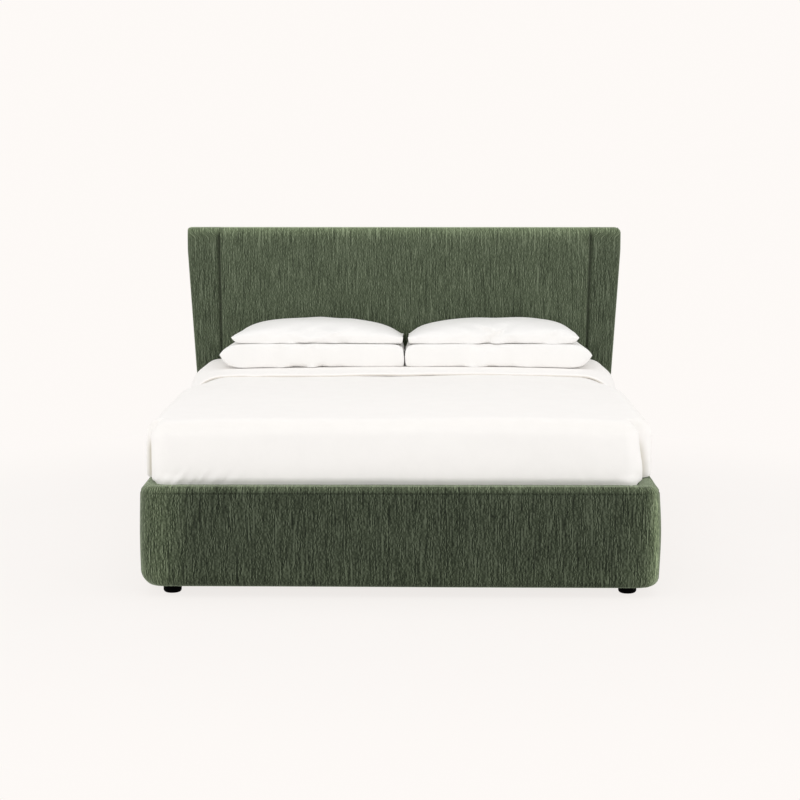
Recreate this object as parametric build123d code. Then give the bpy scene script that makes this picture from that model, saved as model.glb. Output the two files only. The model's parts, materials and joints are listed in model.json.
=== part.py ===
from build123d import *
import math
import os

# Upholstered double bed. +X is to the right seen from the foot end, +Y points to the head end and
# +Z up. The origin is on the floor, below the middle of the bed. Sizes are in millimetres.

# Mattress and the space round it
mattress_width = 1600
mattress_length = 2000
mattress_thick = 260
mattress_sink = 66
mattress_corner_radius = 60
mattress_edge_radius = 18
side_bay = 5
foot_bay = 35
head_bay = 2

# Base rails
floor_gap = 30
rail_height = 346
rail_thick = 75
rail_crown = 4
rail_top_radius = 25
rail_bottom_radius = 45
rail_inner_radius = 7
plan_corner_radius = 78
corner_arm = 160
cover_joint_gap = 0.5
board_thick = 28
cover_lip_top = 12
cover_lip_bottom = 14

# Headboard
headboard_height = 1164
headboard_overhang = 12
headboard_flare = 43
flare_top_below = 97
pad_thick = 70
pad_crown = 4
pad_top_radius = 34
pad_rear_radius = 8
pad_side_radius = 10
pad_wrap = 16
pad_gap = 0.5
crease_depth = 38
wing_edge_set = 5
wing_edge_radius = 24
wing_hollow = 7
wing_top_radius = 20
wing_top_steps_count = 4
wing_seat_gap = 1
facing_thick = 6
post_thick = 39
post_width = 85
back_thick = 8
back_inset = 3
back_floor_rise = 6
back_edge_radius = 2.5
cross_rail_height = 60
middle_rail_rise = 92
bottom_rail_height = 100
bottom_rail_rise = 156

# Slats and what carries them
slat_count = 13
slat_width = 75
slat_thick = 18
slat_end_gap = 4
slat_edge_radius = 3
slat_margin = 50
ledger_width = 28
ledger_height = 40
ledger_end_gap = 6
webbing_width = 25
webbing_thick = 1
webbing_from_ledger = 60
beam_width = 45
beam_height = 60
hanger_thick = 3
hanger_flange = 32
hanger_rise = 50
hanger_depth = 50
hanger_clearance = 0.5
leg_radius = 20
leg_wall = 2
leg_spread_share = 0.33
leg_plate_length = 110
leg_plate_width = 45
leg_plate_thick = 4
glide_height = 10
glide_lip = 2
glide_plug = 16

# Feet and fasteners
foot_radius = 31
foot_top_radius = 26
foot_edge_radius = 11
foot_shoulder = 6
corner_block_size = 60
corner_block_height = 72
stud_radius = 4
stud_in_foot = 20
stud_in_block = 40
bolt_radius = 4
bolt_head_radius = 7
bolt_head_height = 5
bolt_socket_radius = 3
bolt_socket_depth = 2.5
bolt_in_timber = 22
bolt_clearance = 0.25
bracket_thick = 4
bracket_height = 130
bracket_above_block = 10
bracket_along = 100
bracket_front_flange = 92
bracket_rear_flange = 52
bracket_bend_radius = 6
bracket_bolt_inset = 30

# Bedding
rest_gap = 0.3
tuck_clearance = 0.5
duvet_thick = 30
duvet_side_drape = 62
duvet_foot_narrowing = 24
duvet_front_set = 65
duvet_swell_length = 90
duvet_corner_radius = 62
duvet_shoulder_radius = 54
duvet_hem_radius = 22
duvet_rail_gap = 1
duvet_tuck_depth = 50
duvet_pleat_width = 9
duvet_pleat_depth = 24
duvet_pleat_height = 158
turnback_length = 650
turnback_thick = 14
turnback_step = 2
turnback_edge_radius = 9
turnback_wave = 8
turnback_wave_count = 6
head_clearance = 8
pillow_height = 92
pillow_from_head = 6
pillow_pair_gap = 14
pillow_drawn_in = 22
lower_pillow_width = 760
lower_pillow_depth = 488
lower_pillow_seam = 41
upper_pillow_width = 690
upper_pillow_depth = 468
upper_pillow_seam = 27

# A pillow's outlines from bottom to top. The first share is of the height below the seam, counted
# down, or of the height above it, counted up. The others are shares of the pillow's width, of its
# depth, and of the drawn-in depth: a positive bow of the sides swells, a negative one is hollow.
pillow_shares = [
    (-1.00, 0.80, 0.74, 0.9),
    (-0.78, 0.89, 0.86, 0.5),
    (-0.40, 0.97, 0.96, -0.4),
    (0.00, 1.00, 1.00, -1.0),
    (0.18, 0.97, 0.96, -0.6),
    (0.42, 0.91, 0.89, -0.1),
    (0.66, 0.82, 0.79, 0.5),
    (0.83, 0.72, 0.67, 0.9),
    (0.95, 0.60, 0.53, 1.1),
    (1.00, 0.46, 0.36, 0.9),
]

# Heights worked out from the sizes above
rail_bottom = floor_gap
rail_top = floor_gap + rail_height
board_bottom = rail_bottom + cover_lip_bottom
board_top = rail_top - cover_lip_top
slat_top = rail_top - mattress_sink
slat_bottom = slat_top - slat_thick
mattress_top = slat_top + mattress_thick
flare_top = headboard_height - flare_top_below
wing_bottom = rail_top + wing_seat_gap
core_top = headboard_height - pad_wrap

# Half widths
inner_half = mattress_width / 2 + side_bay
board_half = inner_half + board_thick
outer_half = inner_half + rail_thick
headboard_half_rail = outer_half + headboard_overhang
headboard_half_top = headboard_half_rail + headboard_flare
duvet_half = mattress_width / 2 + duvet_side_drape
duvet_foot_half = duvet_half - duvet_foot_narrowing
post_inner_half = board_half - post_width

# Places along the bed, from the foot end to the back of the headboard
core_thick = facing_thick + post_thick
bed_length = (
    rail_thick + foot_bay + mattress_length + head_bay + pad_thick + core_thick + back_thick
)
front_y = -bed_length / 2
foot_inner_y = front_y + rail_thick
mattress_foot_y = foot_inner_y + foot_bay
mattress_head_y = mattress_foot_y + mattress_length
pad_y = mattress_head_y + head_bay
facing_y = pad_y + pad_thick
post_y = facing_y + facing_thick
back_y = post_y + post_thick
rear_y = back_y + back_thick
joint_y = facing_y
arm_end_y = foot_inner_y + corner_arm

# One overrun serves every cut
overrun = 5


def block(x_range, y_range, z_range):
    """A box between two coordinates on each axis."""
    lows = (x_range[0], y_range[0], z_range[0])
    sizes = (x_range[1] - x_range[0], y_range[1] - y_range[0], z_range[1] - z_range[0])
    middle = tuple(low + size / 2 for low, size in zip(lows, sizes))
    return Pos(*middle) * Box(*sizes)


def mirrored(shape):
    """The same piece on the left side of the bed."""
    return mirror(shape, Plane.YZ)


def rod(start, direction, radius, length):
    """A round bar from a point along a direction."""
    plane = Plane(origin=start, z_dir=direction)
    return extrude(plane * Circle(radius), length, dir=direction)


def rounded(face, corners):
    """A face with each corner in a list of (point, radius) rounded."""
    for point, radius in corners:
        vertex = face.vertices().sort_by_distance((point[0], point[1], 0))[0]
        face = fillet(vertex, radius)
    return face


def headboard_half(height):
    """Half the headboard's width at a height: it flares up to flare_top and is straight above."""
    climb = min(1, (height - rail_top) / (flare_top - rail_top))
    return headboard_half_rail + (headboard_half_top - headboard_half_rail) * climb


# Base: boards, covers and corner joints


def rail_section():
    """A rail's whole section: u outwards from the inner face, v up. The outer face is crowned."""
    inner_bottom = (0, rail_bottom)
    inner_top = (0, rail_top)
    outer_bottom = (rail_thick - rail_crown, rail_bottom)
    outer_top = (rail_thick - rail_crown, rail_top)
    outer_middle = (rail_thick, (rail_bottom + rail_top) / 2)
    outline = Curve() + [
        Line(inner_bottom, outer_bottom),
        ThreePointArc(outer_bottom, outer_middle, outer_top),
        Line(outer_top, inner_top),
        Line(inner_top, inner_bottom),
    ]
    corners = [
        (inner_bottom, rail_inner_radius),
        (inner_top, rail_inner_radius),
        (outer_bottom, rail_bottom_radius),
        (outer_top, rail_top_radius),
    ]
    return rounded(make_face(outline), corners)


def foot_board_block():
    """Space of the foot rail's timber board, which runs past the ends of the side boards."""
    y_range = (foot_inner_y - board_thick, foot_inner_y)
    return block((-board_half, board_half), y_range, (board_bottom, board_top))


def side_board_block():
    """Space of the right side rail's timber board, from the foot board to the post."""
    return block((inner_half, board_half), (foot_inner_y, joint_y), (board_bottom, board_top))


def foot_rail_cover():
    """The padded cover of the foot rail, carried round both corners of the bed."""
    start = (-inner_half, arm_end_y)
    path = FilletPolyline(
        start,
        (-inner_half, foot_inner_y),
        (inner_half, foot_inner_y),
        (inner_half, arm_end_y),
        radius=plan_corner_radius - rail_thick,
    )
    section = Plane(origin=start, x_dir=(-1, 0, 0), z_dir=(0, 1, 0)) * rail_section()
    cover = sweep(section, path=path)
    side_board = side_board_block()
    cover -= foot_board_block() + side_board + mirrored(side_board)
    heights = (rail_bottom - overrun, rail_top + overrun)
    cover -= block((-inner_half, inner_half), (foot_inner_y, arm_end_y + overrun), heights)
    return cover


def side_rail_cover():
    """The right side rail's padded cover. It runs back past the post to the back panel."""
    start_y = arm_end_y + cover_joint_gap
    plane = Plane(origin=(inner_half, start_y, 0), x_dir=(1, 0, 0), z_dir=(0, -1, 0))
    cover = extrude(plane * rail_section(), back_y - start_y, dir=(0, 1, 0))
    post_space = block(
        (0, board_half), (joint_y, back_y + overrun), (rail_bottom - overrun, rail_top + overrun)
    )
    return cover - side_board_block() - post_space


def bracket_bottom():
    """The corner brackets stand a little above the corner blocks."""
    return rail_bottom + corner_block_height + bracket_above_block


def bracket_bolt_heights():
    """Heights of a corner bracket's two rows of bolts."""
    low = bracket_bottom() + bracket_bolt_inset
    return low, low + bracket_height - 2 * bracket_bolt_inset


def corner_places(rear):
    """The corner joint's face on the foot board or the post, and the way from it into the bed."""
    return (joint_y, -1) if rear else (foot_inner_y, 1)


def corner_flange(rear):
    """How far the bracket reaches across the foot board or the post."""
    return bracket_rear_flange if rear else bracket_front_flange


def corner_bolt_places(rear):
    """Point on the timber and direction into it, for each bolt of the right corner."""
    face_y, way = corner_places(rear)
    across_x = inner_half - corner_flange(rear) + bracket_bolt_inset / 2
    along_y = face_y + way * (bracket_along - bracket_bolt_inset / 2)
    places = []
    for height in bracket_bolt_heights():
        places.append(((across_x, face_y, height), (0, -way, 0)))
        places.append(((inner_half, along_y, height), (1, 0, 0)))
    return places


def bolt_holes(rear):
    """Blind holes that the right corner's bolts need in the timber."""
    depth = bolt_in_timber + bolt_clearance
    radius = bolt_radius + bolt_clearance
    return Part() + [rod(point, way, radius, depth) for point, way in corner_bolt_places(rear)]


def corner_bracket(rear):
    """Steel angle of the right corner: one leg on the side board, one on foot board or post."""
    face_y, way = corner_places(rear)
    corner = (inner_half, face_y)
    across_end = (inner_half - corner_flange(rear), face_y)
    along_end = (inner_half, face_y + way * bracket_along)
    inner_corner = (inner_half - bracket_thick, face_y + way * bracket_thick)
    outline = Polyline(
        corner,
        across_end,
        (across_end[0], inner_corner[1]),
        inner_corner,
        (inner_corner[0], along_end[1]),
        along_end,
        close=True,
    )
    face = rounded(make_face(outline), [(inner_corner, bracket_bend_radius)])
    bracket = extrude(Pos(0, 0, bracket_bottom()) * face, bracket_height, dir=(0, 0, 1))
    for point, into in corner_bolt_places(rear):
        start = Vector(point) - Vector(into) * (bracket_thick + overrun)
        bracket -= rod(start, into, bolt_radius + bolt_clearance, bracket_thick + 2 * overrun)
    return bracket


def bolt(point, into, plate):
    """A socket-head bolt whose head sits on a plate that lies on the timber."""
    seat = Vector(point) - Vector(into) * plate
    top = seat - Vector(into) * bolt_head_height
    body = rod(seat, into, bolt_radius, plate + bolt_in_timber)
    head = rod(top, into, bolt_head_radius, bolt_head_height)
    hexagon = Plane(origin=top, z_dir=into) * RegularPolygon(bolt_socket_radius, 6)
    return body + head - extrude(hexagon, bolt_socket_depth, dir=into)


def frame_bolts():
    """All bolts of the four corner brackets and of the two beam hangers, which are alike."""
    pieces = []
    for rear in (False, True):
        right = [bolt(point, into, bracket_thick) for point, into in corner_bolt_places(rear)]
        pieces += right + [mirrored(piece) for piece in right]
        into = (0, 1, 0) if rear else (0, -1, 0)
        pieces += [bolt(point, into, hanger_thick) for point in hanger_screw_places(rear)]
    return Compound(children=pieces)


def foot_rail_board():
    board = foot_board_block()
    holes = bolt_holes(False)
    board -= holes
    board -= mirrored(holes)
    return board - hanger_screw_holes(False)


def side_rail_board():
    return side_board_block() - bolt_holes(False) - bolt_holes(True)


# Feet and the blocks that carry them


def corner_block_places(rear):
    """The corner block's reach along the bed, against the foot board or the post."""
    face_y, way = corner_places(rear)
    return sorted((face_y, face_y + way * corner_block_size))


def foot_place(sign, rear):
    """X and Y of a foot: in the middle of its corner block."""
    return sign * (inner_half - corner_block_size / 2), sum(corner_block_places(rear)) / 2


def corner_block(sign, rear):
    """A timber block glued into a corner of the base, bored for the foot's stud."""
    inner, outer = sorted((sign * (inner_half - corner_block_size), sign * inner_half))
    top = rail_bottom + corner_block_height
    block_shape = block((inner, outer), corner_block_places(rear), (rail_bottom, top))
    start = (*foot_place(sign, rear), rail_bottom - overrun)
    depth = overrun + stud_in_block + bolt_clearance
    return block_shape - rod(start, (0, 0, 1), stud_radius + bolt_clearance, depth)


def foot(sign, rear):
    """One turned foot: flat top, sloping shoulder and a well rounded lower edge."""
    edge_low = (foot_radius - foot_edge_radius, 0)
    edge_high = (foot_radius, foot_edge_radius)
    outline = Curve() + [
        Line((0, 0), edge_low),
        RadiusArc(edge_low, edge_high, -foot_edge_radius),
        Polyline(
            edge_high,
            (foot_radius, floor_gap - foot_shoulder),
            (foot_top_radius, floor_gap),
            (0, floor_gap),
            (0, 0),
        ),
    ]
    body = revolve(Plane.XZ * make_face(outline), Axis.Z)
    stud_space = floor_gap - stud_in_foot - bolt_clearance
    body -= rod((0, 0, stud_space), (0, 0, 1), stud_radius + bolt_clearance, floor_gap)
    return Pos(*foot_place(sign, rear), 0) * body


def foot_studs():
    """The four threaded studs that hold the feet."""
    low = floor_gap - stud_in_foot
    length = stud_in_foot + stud_in_block
    studs = []
    for sign in (-1, 1):
        for rear in (False, True):
            start = (*foot_place(sign, rear), low)
            studs.append(rod(start, (0, 0, 1), stud_radius, length))
    return Compound(children=studs)


# Slats, ledgers, centre beam and legs


def ledger():
    """The right ledger, a batten on the side board under the slat ends."""
    return block(
        (inner_half - ledger_width, inner_half),
        (foot_inner_y + ledger_end_gap, joint_y - ledger_end_gap),
        (slat_bottom - ledger_height, slat_bottom),
    )


def slat(index):
    """One slat with rounded long edges, the same distance from its neighbours as all others."""
    half_length = inner_half - slat_end_gap
    first = mattress_foot_y + slat_margin
    pitch = (mattress_length - 2 * slat_margin) / (slat_count - 1)
    centre = (-half_length, first + pitch * index, slat_bottom + slat_thick / 2)
    section = RectangleRounded(slat_width, slat_thick, slat_edge_radius)
    plane = Plane(origin=centre, x_dir=(0, 1, 0), z_dir=(1, 0, 0))
    return extrude(plane * section, 2 * half_length, dir=(1, 0, 0))


def slat_webbing():
    """Two tapes stapled under the slats, which keep their spacing."""
    outer = inner_half - ledger_width - webbing_from_ledger
    reach = slat_margin - slat_width / 2
    right = block(
        (outer - webbing_width, outer),
        (mattress_foot_y + reach, mattress_head_y - reach),
        (slat_bottom - webbing_thick, slat_bottom),
    )
    return Compound(children=[right, mirrored(right)])


def beam_end_y(rear):
    """The timber faces that the centre beam's hangers are screwed to."""
    return joint_y if rear else foot_inner_y


def centre_beam():
    return block(
        (-beam_width / 2, beam_width / 2),
        (foot_inner_y + hanger_thick + hanger_clearance, joint_y - hanger_thick - hanger_clearance),
        (slat_bottom - beam_height, slat_bottom),
    )


def hanger_screw_places(rear):
    """Points on the timber where the hanger's four screws go in."""
    x = beam_width / 2 + hanger_thick + hanger_flange / 2
    low = slat_bottom - beam_height + bolt_head_radius
    heights = (low, low + hanger_rise - 2 * bolt_head_radius)
    return [(sign * x, beam_end_y(rear), height) for sign in (-1, 1) for height in heights]


def hanger_screw_holes(rear):
    into = (0, 1, 0) if rear else (0, -1, 0)
    depth = bolt_in_timber + bolt_clearance
    radius = bolt_radius + bolt_clearance
    return Part() + [rod(point, into, radius, depth) for point in hanger_screw_places(rear)]


def beam_hanger(rear):
    """A folded steel hanger: back plate with flanges, two cheeks and a seat for the beam."""
    face_y = beam_end_y(rear)
    way = -1 if rear else 1
    seat = slat_bottom - beam_height
    low = seat - hanger_thick
    high = low + hanger_thick + hanger_rise
    inner = beam_width / 2 + hanger_clearance
    outer = inner + hanger_thick
    plate_y = sorted((face_y, face_y + way * hanger_thick))
    cheek_y = sorted((face_y, face_y + way * hanger_depth))
    plate = block((-outer - hanger_flange, outer + hanger_flange), plate_y, (low, high))
    bucket = block((-outer, outer), cheek_y, (low, high))
    space_y = sorted((face_y + way * hanger_thick, face_y + way * (hanger_depth + overrun)))
    space = block((-inner, inner), space_y, (seat - hanger_clearance / 2, high + overrun))
    hanger = plate + bucket - space
    into = (0, -way, 0)
    for point in hanger_screw_places(rear):
        start = Vector(point) - Vector(into) * (hanger_thick + overrun)
        hanger -= rod(start, into, bolt_radius + bolt_clearance, hanger_thick + 2 * overrun)
    return hanger


def centre_leg(sign):
    """A tube leg with the plate welded on top that is screwed under the centre beam."""
    bay_length = joint_y - foot_inner_y
    centre_y = foot_inner_y + bay_length / 2 + sign * bay_length * leg_spread_share / 2
    plate_top = slat_bottom - beam_height
    plate = block(
        (-leg_plate_width / 2, leg_plate_width / 2),
        (centre_y - leg_plate_length / 2, centre_y + leg_plate_length / 2),
        (plate_top - leg_plate_thick, plate_top),
    )
    length = plate_top - leg_plate_thick - glide_height
    tube = rod((0, centre_y, glide_height), (0, 0, 1), leg_radius, length)
    bore = rod((0, centre_y, glide_height), (0, 0, 1), leg_radius - leg_wall, length)
    glide = rod((0, centre_y, 0), (0, 0, 1), leg_radius + glide_lip, glide_height)
    glide += rod((0, centre_y, 0), (0, 0, 1), leg_radius - leg_wall, glide_height + glide_plug)
    return plate + (tube - bore), glide


# Headboard


def core_outline(bottom):
    """The timber core's front view from a height up: the headboard less its padding."""
    low = headboard_half(bottom) - pad_wrap
    high = headboard_half_top - pad_wrap
    return make_face(
        Polyline(
            (-low, bottom),
            (low, bottom),
            (high, flare_top),
            (high, core_top),
            (-high, core_top),
            (-high, flare_top),
            close=True,
        )
    )


def upright(face, y_range):
    """A face drawn as X and Z, as a plate between two places along the bed."""
    plane = Plane(origin=(0, y_range[0], 0), x_dir=(1, 0, 0), z_dir=(0, -1, 0))
    return extrude(plane * face, y_range[1] - y_range[0], dir=(0, 1, 0))


def headboard_facing():
    """Plywood in front of the posts, which the pads are fixed to."""
    return upright(core_outline(wing_bottom), (facing_y, post_y))


def headboard_post():
    """The right post: narrow below the rail's top, and widening with the flare above it."""
    upper = upright(core_outline(wing_bottom), (post_y, back_y))
    upper &= block((post_inner_half, headboard_half_top), (post_y, back_y), (wing_bottom, core_top))
    lower = block((post_inner_half, board_half), (joint_y, back_y), (board_bottom, wing_bottom))
    return upper + lower - bolt_holes(True)


def cross_rail(front, bottom, height):
    """A timber between the two posts."""
    return block((-post_inner_half, post_inner_half), (front, back_y), (bottom, bottom + height))


def headboard_bottom_rail():
    """The thicker rail below the facing, which carries the head end of the centre beam."""
    rail = cross_rail(joint_y, rail_bottom + bottom_rail_rise, bottom_rail_height)
    return rail - hanger_screw_holes(True)


def back_panel():
    """The cloth-covered board that closes the whole back, a little inside the outline."""
    low = outer_half - back_inset
    high = headboard_half_top - back_inset
    bottom = rail_bottom + back_floor_rise
    top = headboard_height - back_inset
    at_rail = headboard_half_rail - back_inset
    right = [(low, bottom), (low, rail_top), (at_rail, rail_top), (high, flare_top), (high, top)]
    left = [(-x, z) for x, z in reversed(right)]
    panel = upright(make_face(Polyline(*right, *left, close=True)), (back_y, rear_y))
    rear_edges = panel.faces().sort_by(Axis.Y)[-1].edges()
    return fillet(rear_edges, back_edge_radius)


def pad_core_space():
    """What the pads leave for the core, from below it to the back."""
    face = core_outline(wing_bottom)
    space = upright(face, (facing_y, back_y + overrun))
    return space + block(
        (-headboard_half_top, headboard_half_top),
        (facing_y, back_y + overrun),
        (wing_bottom - overrun, wing_bottom),
    )


def centre_pad():
    """The proud centre pad: crowned front, round top edge, hooked over the top of the core."""
    front_low = (pad_y + pad_crown, wing_bottom)
    front_high = (pad_y + pad_crown, headboard_height)
    front_middle = (pad_y, (wing_bottom + headboard_height) / 2)
    rear_high = (back_y, headboard_height)
    rear_low = (back_y, wing_bottom)
    outline = Curve() + [
        ThreePointArc(front_low, front_middle, front_high),
        Line(front_high, rear_high),
        Line(rear_high, rear_low),
        Line(rear_low, front_low),
    ]
    section = rounded(
        make_face(outline), [(front_high, pad_top_radius), (rear_high, pad_rear_radius)]
    )
    half = mattress_width / 2
    plane = Plane(origin=(-half, 0, 0), x_dir=(0, 1, 0), z_dir=(1, 0, 0))
    pad = extrude(plane * section, 2 * half, dir=(1, 0, 0))
    front_edges = ShapeList()
    for end in (pad.faces().sort_by(Axis.X)[0], pad.faces().sort_by(Axis.X)[-1]):
        front_edges += end.edges().filter_by(lambda edge: (edge @ 0.5).Y < facing_y)
    upper_edges = front_edges.filter_by(lambda edge: (edge @ 0.5).Z > wing_bottom + pad_side_radius)
    return fillet(upper_edges, pad_side_radius) - pad_core_space()


def wing_section(height, inset):
    """The right wing pad's plan at a height, drawn in by an inset where its top rounds over.

    The front is hollow: deep at the crease beside the centre pad, coming forward to the outer edge.
    """
    inner = mattress_width / 2 + pad_gap
    outer = headboard_half(height) - inset
    crease = (inner, pad_y + crease_depth + inset)
    edge_in = (outer - wing_edge_radius, pad_y + wing_edge_set + inset)
    edge_out = (outer, edge_in[1] + wing_edge_radius)
    outline = Curve() + [
        Line((inner, back_y), (outer, back_y)),
        Line((outer, back_y), edge_out),
        RadiusArc(edge_out, edge_in, -wing_edge_radius),
        SagittaArc(edge_in, crease, -wing_hollow),
        Line(crease, (inner, back_y)),
    ]
    return Pos(0, 0, height) * make_face(outline)


def wing_pad():
    """The right wing pad, flared outwards to the top, with its top edge rounded over."""
    sections = [wing_section(wing_bottom, 0), wing_section(flare_top, 0)]
    for step in range(wing_top_steps_count + 1):
        turn = math.pi / 2 * step / wing_top_steps_count
        inset = wing_top_radius * (1 - math.cos(turn))
        height = headboard_height - wing_top_radius * (1 - math.sin(turn))
        sections.append(wing_section(height, inset))
    return loft(sections, ruled=True) - pad_core_space()


# Bedding


def mattress():
    """The mattress: rounded corners, with soft upper and lower edges."""
    plan = RectangleRounded(mattress_width, mattress_length, mattress_corner_radius)
    centre_y = (mattress_foot_y + mattress_head_y) / 2
    body = extrude(Pos(0, centre_y, slat_top) * plan, mattress_thick)
    flat_faces = body.faces().sort_by(Axis.Z)
    return fillet(flat_faces[0].edges() + flat_faces[-1].edges(), mattress_edge_radius)


def duvet_lower_layer():
    """The duvet's outer form: round shoulders, fuller sides behind the foot corners."""
    front = front_y + duvet_front_set
    head = pad_y - head_clearance
    corner_x = duvet_foot_half - duvet_corner_radius
    corner_y = front + duvet_corner_radius
    right = [(duvet_foot_half, corner_y), (duvet_half, corner_y + duvet_swell_length)]
    right.append((duvet_half, head))
    left = [(-x, y) for x, y in reversed(right)]
    plan = make_face(
        Curve()
        + [
            Polyline(*right, *left),
            RadiusArc(left[-1], (-corner_x, front), -duvet_corner_radius),
            Line((-corner_x, front), (corner_x, front)),
            RadiusArc((corner_x, front), right[0], -duvet_corner_radius),
        ]
    )
    bottom = rail_top + duvet_rail_gap
    body = extrude(Pos(0, 0, bottom) * plan, mattress_top + duvet_thick - bottom, dir=(0, 0, 1))
    faces = body.faces().sort_by(Axis.Z)
    upper_edges = faces[-1].edges().filter_by(lambda edge: (edge @ 0.5).Y < head - overrun)
    body = fillet(upper_edges, duvet_shoulder_radius)
    lower_face = body.faces().sort_by(Axis.Z)[0]
    lower_edges = lower_face.edges().filter_by(lambda edge: (edge @ 0.5).Y < head - overrun)
    return fillet(lower_edges, duvet_hem_radius)


def duvet_turned_back():
    """The head end folded back over the lower layer, with a wavy rounded hem."""
    head = pad_y - head_clearance
    hem = head - turnback_length
    half = duvet_half + turnback_step
    run = 2 * half / turnback_wave_count
    edges = []
    for index in range(turnback_wave_count):
        start = (-half + run * index, hem)
        end = (-half + run * (index + 1), hem)
        sagitta = turnback_wave if index % 2 else -turnback_wave
        edges.append(SagittaArc(start, end, sagitta))
    edges.append(Line((half, hem), (half, head)))
    edges.append(Line((half, head), (-half, head)))
    edges.append(Line((-half, head), (-half, hem)))
    bottom = rail_top + duvet_rail_gap
    top = mattress_top + duvet_thick + turnback_thick
    body = extrude(Pos(0, 0, bottom) * make_face(Curve() + edges), top - bottom, dir=(0, 0, 1))
    side_edges = body.edges().filter_by(Axis.Y).group_by(Axis.Z)[-1]
    body = fillet(side_edges, duvet_shoulder_radius)
    hem_limit = hem + turnback_wave + overrun
    top_face = body.faces().sort_by(Axis.Z)[-1]
    hem_edges = top_face.edges().filter_by(lambda edge: (edge @ 0.5).Y < hem_limit)
    return fillet(hem_edges, turnback_edge_radius)


def duvet_pleat(sign):
    """A pleat at a foot corner, where the side drape passes behind the front of the duvet."""
    slope = math.sqrt(0.5)
    centre_x = duvet_foot_half - duvet_corner_radius
    centre_y = front_y + duvet_front_set + duvet_corner_radius
    surface = duvet_corner_radius * slope
    tip = (duvet_corner_radius - duvet_pleat_depth) * slope
    mouth = (duvet_corner_radius + overrun) * slope
    half_width = duvet_pleat_width * slope / 2
    spread = half_width * (duvet_pleat_depth + overrun) / duvet_pleat_depth
    wedge = make_face(
        Polyline(
            (centre_x + tip, centre_y - tip),
            (centre_x + mouth - spread, centre_y - mouth - spread),
            (centre_x + mouth + spread, centre_y - mouth + spread),
            close=True,
        )
    )
    bottom = rail_top + duvet_rail_gap - overrun
    pleat = extrude(Pos(0, 0, bottom) * wedge, duvet_pleat_height + overrun, dir=(0, 0, 1))
    return pleat if sign > 0 else mirrored(pleat)


def duvet():
    """The duvet over the mattress: both layers, tucked in at the foot and pleated at the corners."""
    half = mattress_width / 2 + tuck_clearance
    foot_end = mattress_foot_y - tuck_clearance
    tuck_bottom = rail_top + duvet_rail_gap - duvet_tuck_depth
    tuck_y = (foot_inner_y + tuck_clearance, foot_end)
    body = duvet_lower_layer() + duvet_turned_back()
    body += block((-half, half), tuck_y, (tuck_bottom, mattress_top))
    body -= block((-half, half), (foot_end, pad_y), (slat_top, mattress_top + rest_gap))
    return body - duvet_pleat(1) - duvet_pleat(-1)


def pillow_outline(width, depth, bow):
    """Four bowed sides between the pillow's corners. A positive bow swells and a negative draws in."""
    half_width = width / 2
    half_depth = depth / 2
    corners = [
        (-half_width, -half_depth),
        (half_width, -half_depth),
        (half_width, half_depth),
        (-half_width, half_depth),
    ]
    following = corners[1:] + corners[:1]
    return make_face(Curve() + [SagittaArc(a, b, -bow) for a, b in zip(corners, following)])


def pillow(sign, width, depth, bottom, seam):
    """A plump pillow: pointed corners at the seam, drawn-in sides and a crown."""
    centre_x = sign * (width + pillow_pair_gap) / 2
    centre_y = pad_y - pillow_from_head - depth / 2
    sections = []
    for height_share, width_share, depth_share, bow_share in pillow_shares:
        reach = seam if height_share < 0 else pillow_height - seam
        bow = pillow_drawn_in * bow_share
        outline = pillow_outline(width * width_share, depth * depth_share, bow)
        sections.append(Pos(centre_x, centre_y, bottom + seam + reach * height_share) * outline)
    return loft(sections, ruled=True)


# Every piece under its own name


def build_pieces():
    """Every piece of the bed under the name of its file."""
    pieces = {
        "foot_rail_board": foot_rail_board(),
        "foot_rail_cover": foot_rail_cover(),
        "frame_bolts": frame_bolts(),
        "foot_studs": foot_studs(),
        "slat_webbing": slat_webbing(),
        "centre_beam": centre_beam(),
        "front_beam_hanger": beam_hanger(False),
        "rear_beam_hanger": beam_hanger(True),
        "headboard_facing": headboard_facing(),
        "headboard_top_rail": cross_rail(post_y, core_top - cross_rail_height, cross_rail_height),
        "headboard_middle_rail": cross_rail(
            post_y, mattress_top + middle_rail_rise, cross_rail_height
        ),
        "headboard_bottom_rail": headboard_bottom_rail(),
        "headboard_back_panel": back_panel(),
        "headboard_centre_pad": centre_pad(),
        "mattress": mattress(),
        "duvet": duvet(),
    }
    right_pieces = {
        "rail_board": side_rail_board(),
        "rail_cover": side_rail_cover(),
        "ledger": ledger(),
        "headboard_post": headboard_post(),
        "wing_pad": wing_pad(),
        "front_corner_bracket": corner_bracket(False),
        "rear_corner_bracket": corner_bracket(True),
    }
    for name, piece in right_pieces.items():
        pieces["right_" + name] = piece
        pieces["left_" + name] = mirrored(piece)
    for side, sign in (("left", -1), ("right", 1)):
        pieces["front_" + side + "_foot"] = foot(sign, False)
        pieces["rear_" + side + "_foot"] = foot(sign, True)
        pieces["front_" + side + "_corner_block"] = corner_block(sign, False)
        pieces["rear_" + side + "_corner_block"] = corner_block(sign, True)
    for place, sign in (("front", -1), ("rear", 1)):
        leg, glide = centre_leg(sign)
        pieces[place + "_centre_leg"] = leg
        pieces[place + "_leg_glide"] = glide
    for index in range(slat_count):
        pieces["slat_" + str(index + 1).zfill(2)] = slat(index)
    lower = mattress_top + duvet_thick + turnback_thick + rest_gap
    upper = lower + pillow_height + rest_gap
    for side, sign in (("left", -1), ("right", 1)):
        pieces["lower_" + side + "_pillow"] = pillow(
            sign, lower_pillow_width, lower_pillow_depth, lower, lower_pillow_seam
        )
        pieces["upper_" + side + "_pillow"] = pillow(
            sign, upper_pillow_width, upper_pillow_depth, upper, upper_pillow_seam
        )
    return pieces


def main():
    os.makedirs("parts", exist_ok=True)
    for name, piece in build_pieces().items():
        export_step(piece, "parts/" + name + ".step")


main()
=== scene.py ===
"""Looks of the upholstered bed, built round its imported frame. Lengths are in metres."""

import json
import math

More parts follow.
